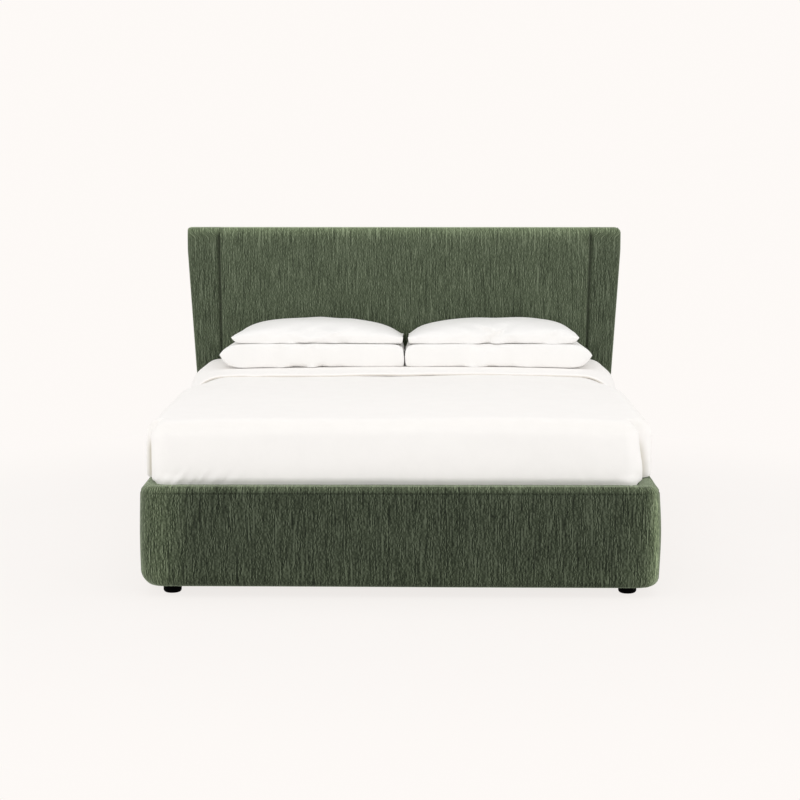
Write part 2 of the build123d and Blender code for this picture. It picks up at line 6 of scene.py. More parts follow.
import bmesh
import bpy
import numpy as np

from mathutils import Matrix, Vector


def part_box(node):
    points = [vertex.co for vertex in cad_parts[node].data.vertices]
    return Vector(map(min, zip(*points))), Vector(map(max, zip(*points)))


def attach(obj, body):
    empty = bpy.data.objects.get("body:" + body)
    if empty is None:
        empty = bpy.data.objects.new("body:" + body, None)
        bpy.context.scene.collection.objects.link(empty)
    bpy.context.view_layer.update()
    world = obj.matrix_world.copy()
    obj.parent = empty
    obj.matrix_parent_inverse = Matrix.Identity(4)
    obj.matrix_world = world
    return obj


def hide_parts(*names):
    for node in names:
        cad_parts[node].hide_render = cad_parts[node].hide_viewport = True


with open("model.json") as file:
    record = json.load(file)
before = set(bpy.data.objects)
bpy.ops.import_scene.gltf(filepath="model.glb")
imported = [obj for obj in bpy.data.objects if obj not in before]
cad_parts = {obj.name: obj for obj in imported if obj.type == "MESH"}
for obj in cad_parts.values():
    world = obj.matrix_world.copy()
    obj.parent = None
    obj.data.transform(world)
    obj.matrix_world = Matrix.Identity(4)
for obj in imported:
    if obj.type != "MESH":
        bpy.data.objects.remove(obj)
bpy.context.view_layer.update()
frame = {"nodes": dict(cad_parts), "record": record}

mm = 0.001
render_levels = 1
merge_distance = 0.02 * mm
tiny = 1e-9

# Places read from the frame
foot_low, foot_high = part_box("foot_rail_cover")
side_low, side_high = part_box("right_rail_cover")
pad_low, pad_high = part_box("headboard_centre_pad")
wing_low, wing_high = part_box("right_wing_pad")
facing_low, facing_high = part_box("headboard_facing")
mattress_low, mattress_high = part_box("mattress")
duvet_low, duvet_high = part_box("duvet")

front_y = foot_low.y
outer_half = foot_high.x
inner_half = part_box("right_rail_board")[0].x
rail_bottom = foot_low.z
rail_top = foot_high.z
rail_thick = outer_half - inner_half
foot_inner_y = front_y + rail_thick
pad_y = pad_low.y
facing_y = facing_low.y
back_y = pad_high.y
pad_half = pad_high.x
pad_bottom = pad_low.z
core_top = facing_high.z
headboard_top = pad_high.z
headboard_half_top = wing_high.x


# Arrays and surfaces


def smooth_step(value):
    """0 up to 0, 1 from 1 on, and 3t^2 - 2t^3 between them."""
    t = np.clip(value, 0, 1)
    return t * t * (3 - 2 * t)


def bell(value, centre, width):
    """exp(-((value - centre) / width)^2): 1 at the centre, nothing a few widths away."""
    return np.exp(-(((value - centre) / width) ** 2))


def ripples(a, b, seed, count, lengths, height):
    """Soft unevenness: a sum of sine waves across (a, b) with random ways, lengths and phases."""
    random = np.random.default_rng(seed)
    total = np.zeros(np.broadcast(a, b).shape)
    for _ in range(count):
        way = random.uniform(0, math.pi)
        length = random.uniform(*lengths)
        phase = random.uniform(0, 2 * math.pi)
        along = a * math.cos(way) + b * math.sin(way)
        total += np.sin(2 * math.pi * along / length + phase)
    return height * total / math.sqrt(count)


def steps_between(low, high, step, dense_low=(), dense_high=()):
    """Places from low to high about a step apart, with given distances from either end added."""
    inner_low = low + (dense_low[-1] if len(dense_low) else 0)
    inner_high = high - (dense_high[-1] if len(dense_high) else 0)
    count = max(2, int(round((inner_high - inner_low) / step)) + 1)
    places = [low + d for d in dense_low[:-1]]
    places += list(np.linspace(inner_low, inner_high, count))
    places += [high - d for d in reversed(dense_high[:-1])]
    return np.array(places)


def rounded_in(distance, radius):
    """How far a quarter-round edge lies in, d from its end: r - sqrt(r^2 - (r - d)^2)."""
    gone = np.clip(radius - distance, 0, radius)
    return radius - np.sqrt(radius**2 - gone**2)


def stack(*coordinates):
    """Coordinate arrays of any matching shapes as one array of points."""
    return np.stack(np.broadcast_arrays(*coordinates), axis=-1).astype(float)


def end_caps(points, uv, centre=None, uv_step=0):
    """Fans that close a tube's first and last ring, each from its own middle or a given one."""
    caps = []
    for row in (0, -1):
        own = points[row].mean(axis=0)
        middle = own if centre is None else np.array([points[row, 0, 0], *centre])
        ring = np.stack([points[row], points[row] * 0 + middle])
        caps.append((ring, np.stack([uv[row], uv[row] + uv_step])))
    return caps


def skins(surface, normals, thick, thin):
    """The outer and inner skin of a layer of cloth, drawn together where thin falls from 1 to 0."""
    return [surface - normals * (thick / 2 * (1 + side * thin))[..., None] for side in (-1, 1)]


def arc_lengths(points, axis):
    """Length run along one axis of a grid of points, from 0 at its start."""
    step = np.linalg.norm(np.diff(points, axis=axis), axis=-1)
    start = np.zeros_like(np.take(step, [0], axis=axis))
    return np.concatenate([start, np.cumsum(step, axis=axis)], axis=axis)


def make_mesh(name, patches):
    """One merged mesh from patches (points, uv) or (points, uv, shade).

    uv is the cloth's own metres. The shade is the duvet's painted shade, with its reverse side at
    the hem, or the chenille's painted highlight over rounded edges and corners.
    """
    points = np.concatenate([patch[0].reshape(-1, 3) for patch in patches])
    cloth = np.concatenate([patch[1].reshape(-1, 2) for patch in patches])
    plain = [np.zeros(patch[0].size // 3) for patch in patches]
    shade = [patch[2].ravel() if len(patch) > 2 else p for patch, p in zip(patches, plain)]
    faces = []
    first = 0
    for patch, *_ in patches:
        rows, columns = patch.shape[:2]
        index = np.arange(rows * columns).reshape(rows, columns) + first
        corners = (index[:-1, :-1], index[1:, :-1], index[1:, 1:], index[:-1, 1:])
        faces.append(np.stack(corners, axis=-1).reshape(-1, 4))
        first += rows * columns
    faces = np.concatenate(faces)
    mesh = bpy.data.meshes.new(name)
    mesh.vertices.add(len(points))
    mesh.vertices.foreach_set("co", points.astype(np.float32).ravel())
    mesh.loops.add(faces.size)
    mesh.loops.foreach_set("vertex_index", faces.astype(np.int32).ravel())
    mesh.polygons.add(len(faces))
    mesh.polygons.foreach_set("loop_start", np.arange(0, faces.size, 4, dtype=np.int32))
    mesh.update(calc_edges=True)
    layer = mesh.uv_layers.new(name="cloth")
    layer.data.foreach_set("uv", cloth[faces.ravel()].astype(np.float32).ravel())
    layer = mesh.attributes.new("shade", "FLOAT", "POINT")
    layer.data.foreach_set("value", np.concatenate(shade).astype(np.float32))
    work = bmesh.new()
    work.from_mesh(mesh)
    bmesh.ops.remove_doubles(work, verts=work.verts, dist=merge_distance)
    bmesh.ops.dissolve_degenerate(work, edges=work.edges, dist=merge_distance / 2)
    bmesh.ops.recalc_face_normals(work, faces=work.faces)
    work.to_mesh(mesh)
    work.free()
    mesh.polygons.foreach_set("use_smooth", np.ones(len(mesh.polygons), dtype=bool))
    return mesh


def add_object(name, data):
    """A new object at the origin, in the scene."""
    holder = bpy.data.objects.new(name, data)
    bpy.context.scene.collection.objects.link(holder)
    return holder


def add_piece(mesh, body, slot, material, fill, *replaced):
    """A finished soft piece, named as its mesh, that rides on a body and stands for CAD nodes."""
    piece = add_object(mesh.name, mesh)
    mesh.materials.append(material)
    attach(piece, body)
    if replaced:
        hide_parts(*replaced)
    return piece


def mirrored(patches):
    """The same patches on the other side of the bed."""
    return [(points * np.array([-1, 1, 1]), *rest) for points, *rest in patches]


# Materials. A place times a number gives a noise about that many changes per metre.


class Wire:
    """A socket in a sum or product. Each operator adds a Math node."""

    def __init__(self, paint, socket):
        self.paint = paint
        self.socket = socket

    def __add__(self, other):
        return self.paint.maths("ADD", self, other)

    def __sub__(self, other):
        return self.paint.maths("SUBTRACT", self, other)

    def __rsub__(self, other):
        return self.paint.maths("SUBTRACT", other, self)

    def __mul__(self, other):
        return self.paint.maths("MULTIPLY", self, other)

    def __truediv__(self, other):
        return self.paint.maths("DIVIDE", self, other)

    def __rtruediv__(self, other):
        return self.paint.maths("DIVIDE", other, self)

    __radd__ = __add__
    __rmul__ = __mul__

    def sine(self):
        return self.paint.maths("SINE", self)

    def floor(self):
        return self.paint.maths("FLOOR", self)

    def above(self, low, high):
        """0 below low, 1 above high, smooth between."""
        settings = {"interpolation_type": "SMOOTHSTEP"}
        inputs = {"Value": self, "From Min": low, "From Max": high}
        return self.paint.node("ShaderNodeMapRange", settings, inputs)


class Paint:
    """The nodes of one procedural material, or of the world."""

    def __init__(self, holder):
        holder.use_nodes = True
        self.holder = holder
        self.nodes = holder.node_tree.nodes
        self.links = holder.node_tree.links
        self.nodes.clear()

    def node(self, kind, settings=None, inputs=None, output=0):
        """Adds a node: its settings first, then the values or links of its sockets."""
        node = self.nodes.new(kind)
        for key, value in (settings or {}).items():
            if key == "stops":
                for stop, (place, colour) in zip(node.color_ramp.elements, value):
                    stop.position = place
                    stop.color = (*colour, 1)
                for place, colour in value[2:]:
                    node.color_ramp.elements.new(place).color = (*colour, 1)
            else:
                setattr(node, key, value)
        for key, value in (inputs or {}).items():
            if isinstance(value, Wire):
                self.links.new(value.socket, node.inputs[key])
            else:
                node.inputs[key].default_value = value
        return Wire(self, node.outputs[output])

    def cloth(self):
        """The cloth's own metres: u across the yarns and v along them."""
        place = self.node("ShaderNodeUVMap", {"uv_map": "cloth"})
        u = self.node("ShaderNodeSeparateXYZ", inputs={0: place}, output=0)
        v = self.node("ShaderNodeSeparateXYZ", inputs={0: place}, output=1)
        return u, v

    def place(self):
        """Object coordinates, which are the bed's own metres."""
        return self.node("ShaderNodeTexCoord", output=3)

    def shade(self):
        """The mesh's own value: painted shade or a reverse side on cotton, painted highlight on
        chenille.
        """
        return self.node("ShaderNodeAttribute", {"attribute_name": "shade"}, output=2)

    def point(self, x, y, z=0.0):
        return self.node("ShaderNodeCombineXYZ", inputs={0: x, 1: y, 2: z})

    def noise(self, vector, scale=1.0, detail=2.0, roughness=0.5):
        inputs = {"Vector": vector, "Scale": scale, "Detail": detail, "Roughness": roughness}
        return self.node("ShaderNodeTexNoise", inputs=inputs)

    def ramp(self, value, *stops):
        """A colour ramp through stops of (place, colour)."""
        return self.node("ShaderNodeValToRGB", {"stops": stops}, {0: value})

    def mix(self, share, first, second):
        """A colour between two colours."""
        inputs = {0: share, 6: colour4(first), 7: colour4(second)}
        return self.node("ShaderNodeMix", {"data_type": "RGBA"}, inputs, output=2)

    def bump(self, height, distance, strength):
        inputs = {"Height": height, "Distance": distance, "Strength": strength}
        return self.node("ShaderNodeBump", inputs=inputs)

    def direct_rays(self):
        """1 for what the camera sees, also in a mirror or through glass, 0 for light on things."""
        camera, mirror, glass = (self.node("ShaderNodeLightPath", output=n) for n in (0, 3, 6))
        return self.maths("MAXIMUM", camera, self.maths("MAXIMUM", mirror, glass))

    def maths(self, operation, *values):
        return self.node("ShaderNodeMath", {"operation": operation}, dict(enumerate(values)))

    def output(self, kind, surface):
        """Ends the nodes with an output and returns the material or world."""
        out = self.nodes.new(kind)
        self.links.new(surface.socket, out.inputs["Surface"])
        return self.holder

    def finish(self, **sockets):
        """The surface shader, with its sockets named by words joined with underscores."""
        inputs = {}
        for key, value in sockets.items():
            inputs[key.replace("_", " ").title().replace("Ior", "IOR")] = value
        surface = self.node("ShaderNodeBsdfPrincipled", inputs=inputs)
        return self.output("ShaderNodeOutputMaterial", surface)


def new_paint(name):
    return Paint(bpy.data.materials.new(name))


def colour4(colour):
    """A plain colour with its alpha, or a wire as it is."""
    return colour if isinstance(colour, Wire) else (*colour, 1)


def linear(*levels):
    """Screen levels from 0 to 255 as the linear values that a shader takes."""
    shares = [level / 255 for level in levels]
    return tuple(s / 12.92 if s <= 0.04045 else ((s + 0.055) / 1.055) ** 2.4 for s in shares)


def chenille(name, tone, contrast):
    """Green chenille: thick soft yarns side by side, each light and dark in long slubs."""
    yarn = 3.6 * mm
    paint = new_paint(name)
    u, v = paint.cloth()
    drift = paint.noise(paint.point(u * 9, v * 2), detail=1)
    column = u / yarn + drift * 1.2
    index = column.floor()
    long_slub = paint.noise(paint.point(index * 3.17, v * 6 + 40), detail=1)
    cloud = paint.noise(paint.point(u * 6, v * 4), detail=2)
    fuzz = paint.noise(paint.point(u * 700, v * 420), detail=2)

    def slubs(step):
        place = (index + step) * 5.17
        slow = paint.noise(paint.point(place, v * 14), detail=2)
        quick = paint.noise(paint.point(place, v * 76 + 30), detail=2, roughness=0.55)
        return (slow - 0.5) * 0.75 + (quick - 0.5) * 0.95

    own = slubs(0)
    uneven = own - slubs(1) * 0.5 + (fuzz - 0.5) * 0.25 + (cloud - 0.5) * 0.12
    lightness = uneven * contrast + 0.5
    dark, middle, light = ([c * tone for c in shade] for shade in chenille_shades)
    base = paint.ramp(lightness, (0.18, dark), (0.82, light), (0.50, middle))
    thread = long_slub.above(0.64, 0.71) * (0.5 * contrast)
    base = paint.mix(thread, base, [c * 1.1 for c in light])
    gap = (0.43 - long_slub).above(0.02, 0.12) * (0.5 * contrast)
    base = paint.mix(gap, base, dark)
    # Painted highlight: the mesh's shade value lightens the colour by that share, a little more in
    # green and less in blue.
    opened = paint.node("ShaderNodeVectorMath", {"operation": "SCALE"}, {0: base, 3: paint.shade()})
    brighter = {0: opened, 1: (1.04, 1.06, 0.92), 2: base}
    base = paint.node("ShaderNodeVectorMath", {"operation": "MULTIPLY_ADD"}, brighter)
    ridge = (column * (2 * math.pi)).sine() * 0.5 + 0.5
    height = ridge * 0.5 + own * 0.5 + fuzz * 0.4
    normal = paint.bump(height, 0.9 * mm, 0.8)
    return paint.finish(
        base_color=base,
        roughness=0.9,
        normal=normal,
        sheen_weight=0.9,
        sheen_roughness=0.3,
        sheen_tint=(0.70, 0.80, 0.58, 1),
        specular_ior_level=0.12,
    )


def cotton(name, colour, crease=1.0):
    """Washed white cotton: a fine plain weave and faint creases."""
    paint = new_paint(name)
    u, v = paint.cloth()
    thread = 0.55 * mm
    turn = 2 * math.pi / thread
    weave = (u * turn).sine() * (v * turn).sine()
    crumple = paint.noise(paint.point(u * 14, v * 14), detail=5, roughness=0.55)
    fine = paint.noise(paint.point(u * 160, v * 160), detail=2)
    height = crumple * (3.0 * crease) + fine * 0.12 + weave * 0.03
    normal = paint.bump(height, 1 * mm, 0.35)
    base = paint.mix(crumple.above(0.3, 0.7), [c * 0.985 for c in colour], colour)
    # The shade value draws the colour towards the reverse colour: painted shade, and at the hem
    # also the reverse side.
    base = paint.mix(paint.shade(), base, reverse_and_shade_colour)
    return paint.finish(
        base_color=base,
        roughness=0.85,
        normal=normal,
        sheen_weight=0.08,
        sheen_roughness=0.5,
        specular_ior_level=0.2,
    )


def wood(name, light, dark, along):
    """Planed timber: growth rings drawn out along the board, and fine pores."""
    paint = new_paint(name)
    scale = [26.0, 26.0, 26.0]
    scale[along] = 1.6
    fine_scale = [420.0, 420.0, 420.0]
    fine_scale[along] = 9.0
    place = paint.place()
    grown = paint.node("ShaderNodeMapping", inputs={"Vector": place, "Scale": scale})
    rings = paint.noise(grown, detail=4, roughness=0.6)
    bands = (rings * 34).sine() * 0.5 + 0.5
    fine = paint.node("ShaderNodeMapping", inputs={"Vector": place, "Scale": fine_scale})
    pores = paint.noise(fine, detail=2)
    base = paint.mix(bands * 0.6 + pores * 0.4, light, dark)
    normal = paint.bump(pores + bands * 0.3, 0.15 * mm, 0.5)
    return paint.finish(base_color=base, roughness=pores * 0.2 + 0.5, normal=normal)


def plated_steel(name):
    """Zinc-plated steel with a faint crystal pattern."""
    paint = new_paint(name)
    crystals = paint.node("ShaderNodeTexVoronoi", inputs={"Vector": paint.place(), "Scale": 240.0})
    streaks = paint.noise(paint.place(), 60, detail=4)
    base = paint.mix(crystals * 0.6 + streaks * 0.4, (0.66, 0.66, 0.64), (0.50, 0.51, 0.52))
    return paint.finish(base_color=base, metallic=1.0, roughness=streaks * 0.25 + 0.25)


def black_finish(name, colour, grain, rough, gloss=0.5):
    """Black paint or moulded plastic with a fine even texture."""
    paint = new_paint(name)
    texture = paint.noise(paint.place(), grain, detail=3)
    base = paint.mix(texture, colour, [c * 1.6 for c in colour])
    normal = paint.bump(texture, 0.08 * mm, 0.6)
    return paint.finish(
        base_color=base, roughness=texture * 0.15 + rough, normal=normal, specular_ior_level=gloss
    )


def woven(name, colour, pitch):
    """A plain woven tape or backing cloth on the bed's own metres."""
    paint = new_paint(name)
    place = paint.place()
    turn = 2 * math.pi / pitch
    ups = [paint.node("ShaderNodeSeparateXYZ", inputs={0: place}, output=n) for n in range(3)]
    weave = (ups[0] * turn).sine() * ((ups[1] + ups[2]) * turn).sine()
    mottle = paint.noise(place, 35, detail=4)
    dark, light = ([c * share for c in colour] for share in (0.8, 1.15))
    base = paint.mix(weave * 0.25 + mottle * 0.6, dark, light)
    normal = paint.bump(weave, 0.25 * mm, 0.7)
    return paint.finish(
        base_color=base, roughness=0.9, normal=normal, sheen_weight=0.15, specular_ior_level=0.2
    )


chenille_shades = ((0.009, 0.012, 0.007), (0.053, 0.066, 0.040), (0.140, 0.165, 0.110))
# One chenille as two copies: a lit, lighter tone on the headboard and a shaded, darker tone on the
# base, which is painted light.
shaded_base_green = chenille("shaded_base_chenille", 0.83, 1.35)
lit_headboard_green = chenille("lit_headboard_chenille", 1.46, 0.93)
# A dull beige for the duvet's reverse side, mostly used as painted shade in its slits and over
# rolled edges.
reverse_and_shade_colour = (0.46, 0.42, 0.30)
duvet_white = cotton("duvet_cotton", linear(252.4, 249.4, 246.4))
pillow_white = cotton("pillow_cotton", linear(246.0, 244.3, 242.0))
ticking = cotton("mattress_ticking", (0.80, 0.78, 0.74), 0.4)

slot_materials = {
    "back_cloth": woven("back_cloth", (0.060, 0.074, 0.046), 1.6 * mm),
    "webbing": woven("webbing", (0.72, 0.71, 0.68), 2.2 * mm),
    "zinc_steel": plated_steel("zinc_steel"),
    "black_paint": black_finish("black_paint", (0.012, 0.012, 0.012), 900, 0.35),
    "black_plastic": black_finish("black_plastic", (0.0008, 0.0007, 0.0009), 1500, 0.6, 0.02),
    "plywood": wood("plywood", (0.58, 0.42, 0.25), (0.44, 0.30, 0.17), 0),
    "slat_timber": wood("slat_timber", (0.66, 0.49, 0.31), (0.50, 0.34, 0.19), 0),
}
timber_colours = ((0.60, 0.43, 0.26), (0.44, 0.29, 0.15))
timbers = [wood("frame_timber_" + axis, *timber_colours, n) for n, axis in enumerate("xyz")]


def dress_frame_nodes():
    """Gives each CAD node that stays its slot's material, with the grain along its longest side."""
    for part in frame["record"]["subparts"]:
        node = frame["nodes"][part["node"]]
        slot = part["material_slot"]
        if slot == "frame_timber":
            low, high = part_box(part["node"])
            material = timbers[int(np.argmax(np.array(high - low)))]
        else:
            material = slot_materials.get(slot)
        if material is not None:
            node.data.materials.clear()
            node.data.materials.append(material)


# Rail covers

rail_middle = (rail_bottom + rail_top) / 2
rail_top_radius = 28 * mm
rail_inner_radius = 6 * mm
left_lower_radius = 54 * mm
right_lower_radius = 33 * mm
end_radius = 3 * mm
plan_radius = 79 * mm
rail_crown = 4 * mm
rail_swell = 0.5 * mm
right_fuller = 3.3 * mm
seam_below_top = 22.5 * mm
seam_depth = 6 * mm
seam_width = 2.4 * mm
seam_roll = 0.8 * mm
dart_depth = 1.3 * mm
dart_height = 45 * mm
dart_turns = 11
# Painted highlight on the rail cloth: how much lighter over the top edge, low down and at each
# corner of the foot
rail_top_highlight, low_highlight, left_highlight, right_highlight, near_right_highlight = 0.72, 0.16, 0.75, 2.3, 0.5
# How far up the low highlight and how far in the corners' highlights reach, and the lengths of
# their fades
low_highlight_reach, low_highlight_fade = 120 * mm, 110 * mm
left_highlight_reach, left_highlight_fade = 200 * mm, 150 * mm
right_highlight_inset, right_highlight_fade, near_right_fade = 8 * mm, 24 * mm, 90 * mm


def over_height(v):
    """A parabola over the rail's height: 1 half-way up and 0 at its bottom and top."""
    return 1 - ((v - rail_middle) / (rail_middle - rail_bottom)) ** 2


def closed_in(u, v, distance):
    """A rail section drawn in all round near a free end, as a quarter circle."""
    inset = rounded_in(distance, end_radius)[:, None]
    return u - inset * np.sign(u - rail_thick / 2), v - inset * np.sign(v - rail_middle)


def rail_section(lower_radius, seam_share=1.0):
    """A closed rail section for each lower radius: u outwards from the inner face, and height.

    Four rounded corners joined by straight sides. The outer side swells by a parabola over its
    height, and a seam is drawn in a little below the top.
    """
    radius = np.asarray(lower_radius, float).reshape(-1, 1)
    flat = rail_thick - rail_crown
    ones = np.ones_like(radius)

    def corner(centre_u, centre_v, size, start, count):
        turn = np.radians(start + np.linspace(0, 90, count))
        return centre_u * ones + size * np.cos(turn), centre_v * ones + size * np.sin(turn)

    lower = corner(flat - radius, rail_bottom + radius, radius, -90, 16)
    upper = corner(flat - rail_top_radius, rail_top - rail_top_radius, rail_top_radius, 0, 26)
    inner = rail_inner_radius
    inner_up = corner(inner, rail_top - inner, inner, 90, 6)
    inner_low = corner(inner, rail_bottom + inner, inner, 180, 6)

    def side(start, end, count, power=1.0):
        share = 1 - (1 - np.linspace(0, 1, count)[1:-1]) ** power
        return tuple(a[:, -1:] + (b[:, :1] - a[:, -1:]) * share for a, b in zip(start, end))

    parts = [
        lower,
        side(lower, upper, 44, 1.6),
        upper,
        side(upper, inner_up, 7),
        inner_up,
        side(inner_up, inner_low, 12),
        inner_low,
        side(inner_low, lower, 7),
        tuple(a[:, :1] for a in lower),
    ]
    u = np.concatenate([part[0] for part in parts], axis=1)
    v = np.concatenate([part[1] for part in parts], axis=1)
    outward = np.clip(u / flat, 0, 1) ** 2
    u = u + rail_crown * np.clip(over_height(v), 0, 1) * outward
    seam = rail_top - seam_below_top
    on_outer = smooth_step((u - 0.8 * flat) / (0.1 * flat))
    u = u - seam_depth * bell(v, seam, seam_width) * on_outer * seam_share
    v = v + seam_roll * bell(v, seam + 2.5 * seam_width, 2 * seam_width) * on_outer
    return u, v


def painted_rail_highlight(points, way_x):
    """Painted highlight on the rail cloth: lighter over its top edge, low down and round both
    corners.

    Smooth steps of the height and of the left corner's distance, and two bells at the right
    corner. way_x is how far the surface faces sideways; the highlight fades out on the flat sides.
    """
    x, z = points[..., 0], points[..., 2]
    top = rail_top_highlight * smooth_step((z - rail_top + seam_below_top) / seam_below_top)
    low = low_highlight * smooth_step((rail_bottom + low_highlight_reach - z) / low_highlight_fade)
    left = left_highlight * smooth_step((-x - outer_half + left_highlight_reach) / left_highlight_fade)
    right = right_highlight * bell(x, outer_half - right_highlight_inset, right_highlight_fade)
    right = right + near_right_highlight * bell(x, outer_half, near_right_fade)
    facing = 1 - smooth_step((np.abs(way_x) - 0.82) / 0.18)
    return top + low + (left + right) * facing


def foot_cover():
    """The section carried along one side, round a corner, across the foot and back likewise."""
    arm_end = foot_high.y
    inner_radius = plan_radius - rail_thick
    straight = inner_half - inner_radius
    arm_start = foot_inner_y + inner_radius
    ends = np.array([0, 0.3, 1.2, 2.6]) * mm
    arm = arm_end - np.concatenate([ends, np.linspace(5 * mm, arm_end - arm_start, 9)])
    turn = np.radians(np.linspace(0, 90, 15))[1:-1]
    across = steps_between(-straight, straight, 14 * mm)
    half_x = straight + inner_radius * np.sin(turn)
    x = np.concatenate([0 * arm - inner_half, -half_x[::-1], across, half_x, 0 * arm + inner_half])
    half_y = arm_start - inner_radius * np.cos(turn)
    y = np.concatenate([arm, half_y[::-1], 0 * across + foot_inner_y, half_y, arm[::-1]])
    way_x = np.concatenate([0 * arm - 1, -np.cos(turn), 0 * across, np.sin(turn), 0 * arm + 1])
    way_y = -np.sqrt(1 - way_x**2)
    share = smooth_step((x + outer_half) / (2 * outer_half))
    seam_share = 1 - 0.75 * bell(np.abs(way_x), 0.75, 0.45)[:, None]
    lower_radius = left_lower_radius + (right_lower_radius - left_lower_radius) * share
    u, v = rail_section(lower_radius, seam_share)
    u, v = closed_in(u, v, arm_end - y)
    turning = bell(np.abs(way_x), 0.7, 0.35)[:, None]
    angle = np.arctan2(way_x, -way_y)[:, None]
    darts = dart_depth * np.sin(dart_turns * angle) * turning * bell(v, rail_bottom, dart_height)
    along = np.cumsum(np.hypot(np.diff(x, prepend=x[0]), np.diff(y, prepend=y[0])))
    swell = ripples(along[:, None], v, 3, 5, (0.16, 0.5), rail_swell)
    for change in (darts, swell):
        u = u + change * (u > rail_thick / 2)
    fuller = right_fuller * np.clip(way_x, 0, 1)[:, None] * over_height(v)
    u = u + np.clip(fuller, 0, None) * np.clip(u / rail_thick, 0, 1) ** 2
    points = stack(x[:, None] + way_x[:, None] * u, y[:, None] + way_y[:, None] * u, v)
    outer = np.linalg.norm(np.diff(points[:, 30], axis=0), axis=-1)
    run = np.concatenate([[0], np.cumsum(outer)])
    uv = stack(run[:, None], arc_lengths(points, 1))
    # The shade value is the rail cloth's painted highlight.
    return [(points, uv, painted_rail_highlight(points, way_x[:, None])), *end_caps(points, uv)]


def side_cover():
    """The right side's section run straight from the foot cover to the back."""
    ends = np.array([0, 0.3, 1.2, 2.6, 5.0]) * mm
    y = steps_between(side_low.y, side_high.y, 24 * mm, ends, ends)
    u, v = rail_section(np.full(len(y), (left_lower_radius + right_lower_radius) / 2))
    u, v = closed_in(u, v, np.minimum(y - side_low.y, side_high.y - y))
    swell = ripples(y[:, None], v, 5, 5, (0.16, 0.6), rail_swell)
    u = u + swell * (u > rail_thick / 2)
    points = stack(inner_half + u, y[:, None], v)
    uv = stack(y[:, None], arc_lengths(points, 1))
    # The shade value is the rail cloth's painted highlight.
    return [(points, uv, painted_rail_highlight(points, 1.0)), *end_caps(points, uv)]


# Headboard

pad_crown = 4 * mm
pad_top_radius = 34 * mm
pad_rear_radius = 8 * mm
pad_side_radius = 9 * mm
pad_pull, pad_pull_width = 2.5 * mm, 45 * mm
pad_unevenness = 0.8 * mm
wing_edge_set = 5 * mm
wing_edge_radius = 24 * mm
wing_hollow = 4 * mm
wing_lower_radius = 4 * mm
wing_unevenness = 0.6 * mm
wing_flare_below_top = 97 * mm
wing_corner_radius = {"left": 9 * mm, "right": 21 * mm}
# Painted highlight at the headboard's top edge: how much lighter, and over what height it fades
headboard_top_highlight = 1.2
headboard_highlight_fade = 21 * mm

# The creases between pad and wings, as a sum of exponentials of a share and a length each
crease_depth = 46 * mm
crease_curve = ((0.74, 4.5 * mm), (0.26, 17 * mm))
crease_end, crease_fade = 12 * mm, 34 * mm
crease_width = 60 * mm
crease_lean_height = 450 * mm
# How far each lies towards the middle at its top, and what that gains lower down, in mm
crease_leans = {-1: (6, 7), 1: (-2, 13)}


def painted_top_highlight(z):
    """Painted highlight along the headboard's top edge: an exponential of the distance below its
    top.
    """
    return headboard_top_highlight * np.exp(-(headboard_top - z) / headboard_highlight_fade)


def crease_share(z):
    """How open the creases beside the pad are: a smooth step that closes them at the top edge."""
    return smooth_step((headboard_top - crease_end - z) / crease_fade)


def crease_shift(x, z, sign):
    """How far the crease on one side lies towards the middle: a line leaning in downwards.

    A bell about the crease fades the shift out over the pad and the wing.
    """
    down = np.clip((headboard_top - z) / crease_lean_height, 0, 1.2)
    at_top, gained = crease_leans[sign]
    return -sign * (at_top + gained * down) * mm * bell(np.abs(x), pad_half, crease_width)


def centre_pad():
    """The pad's section in the bed's length and height, carried across from side to side.

    Up the crowned front, round the top edge, back over the core and down behind it, then closed
    along the hidden faces. Both side edges round over by a quarter circle.
    """
    quarter = np.radians(np.linspace(0, 90, 15))
    rear_quarter = np.radians(np.linspace(0, 90, 7))
    front = pad_y + pad_crown
    rise = np.linspace(pad_bottom, headboard_top - pad_top_radius, 64)
    y = [np.full(len(rise), front), front + pad_top_radius * (1 - np.cos(quarter[1:]))]
    z = [rise, headboard_top - pad_top_radius * (1 - np.sin(quarter[1:]))]
    top_y = np.linspace(front + pad_top_radius, back_y - pad_rear_radius, 8)[1:]
    y += [top_y, back_y - pad_rear_radius * (1 - np.sin(rear_quarter[1:]))]
    rear_drop = pad_rear_radius * (1 - np.cos(rear_quarter[1:]))
    z += [0 * top_y + headboard_top, headboard_top - rear_drop]
    hidden_y = [back_y, facing_y, facing_y, front]
    hidden_z = [core_top, core_top, pad_bottom, pad_bottom]
    y = np.concatenate([*y, hidden_y])
    z = np.concatenate([*z, hidden_z])
    edge = np.array([0, 0.1, 0.45, 1.1, 2.1, 3.5, 5.4, 7.4, 9.0, 14, 24, 40]) * mm
    x = steps_between(-pad_half, pad_half, 16 * mm, edge, edge)[:, None]
    distance = pad_half - np.abs(x)
    is_front = y < facing_y
    height_share = np.clip((z - pad_bottom) / (headboard_top - pad_bottom), 0, 1)
    crown = pad_crown * (1 - (2 * height_share - 1) ** 2) * (y <= front + mm / 100)
    pulled = rounded_in(distance, pad_side_radius) + pad_pull * bell(distance, 0, pad_pull_width)
    pulled = pulled * crease_share(z)
    soft = ripples(x, z, 11, 6, (0.2, 0.7), pad_unevenness) * crease_share(z)
    x = x + crease_shift(x, z, -1) * (x < 0) + crease_shift(x, z, 1) * (x > 0)
    points = stack(x, y - crown + (pulled + soft) * is_front, z)
    uv = stack(x + 0 * points[..., 1], arc_lengths(points, 1))
    centre = ((facing_y + pad_y) / 2, (pad_bottom + core_top) / 2)
    # The shade value is the top edge's painted highlight.
    return [(points, uv, painted_top_highlight(points[..., 2])), *end_caps(points, uv, centre)]


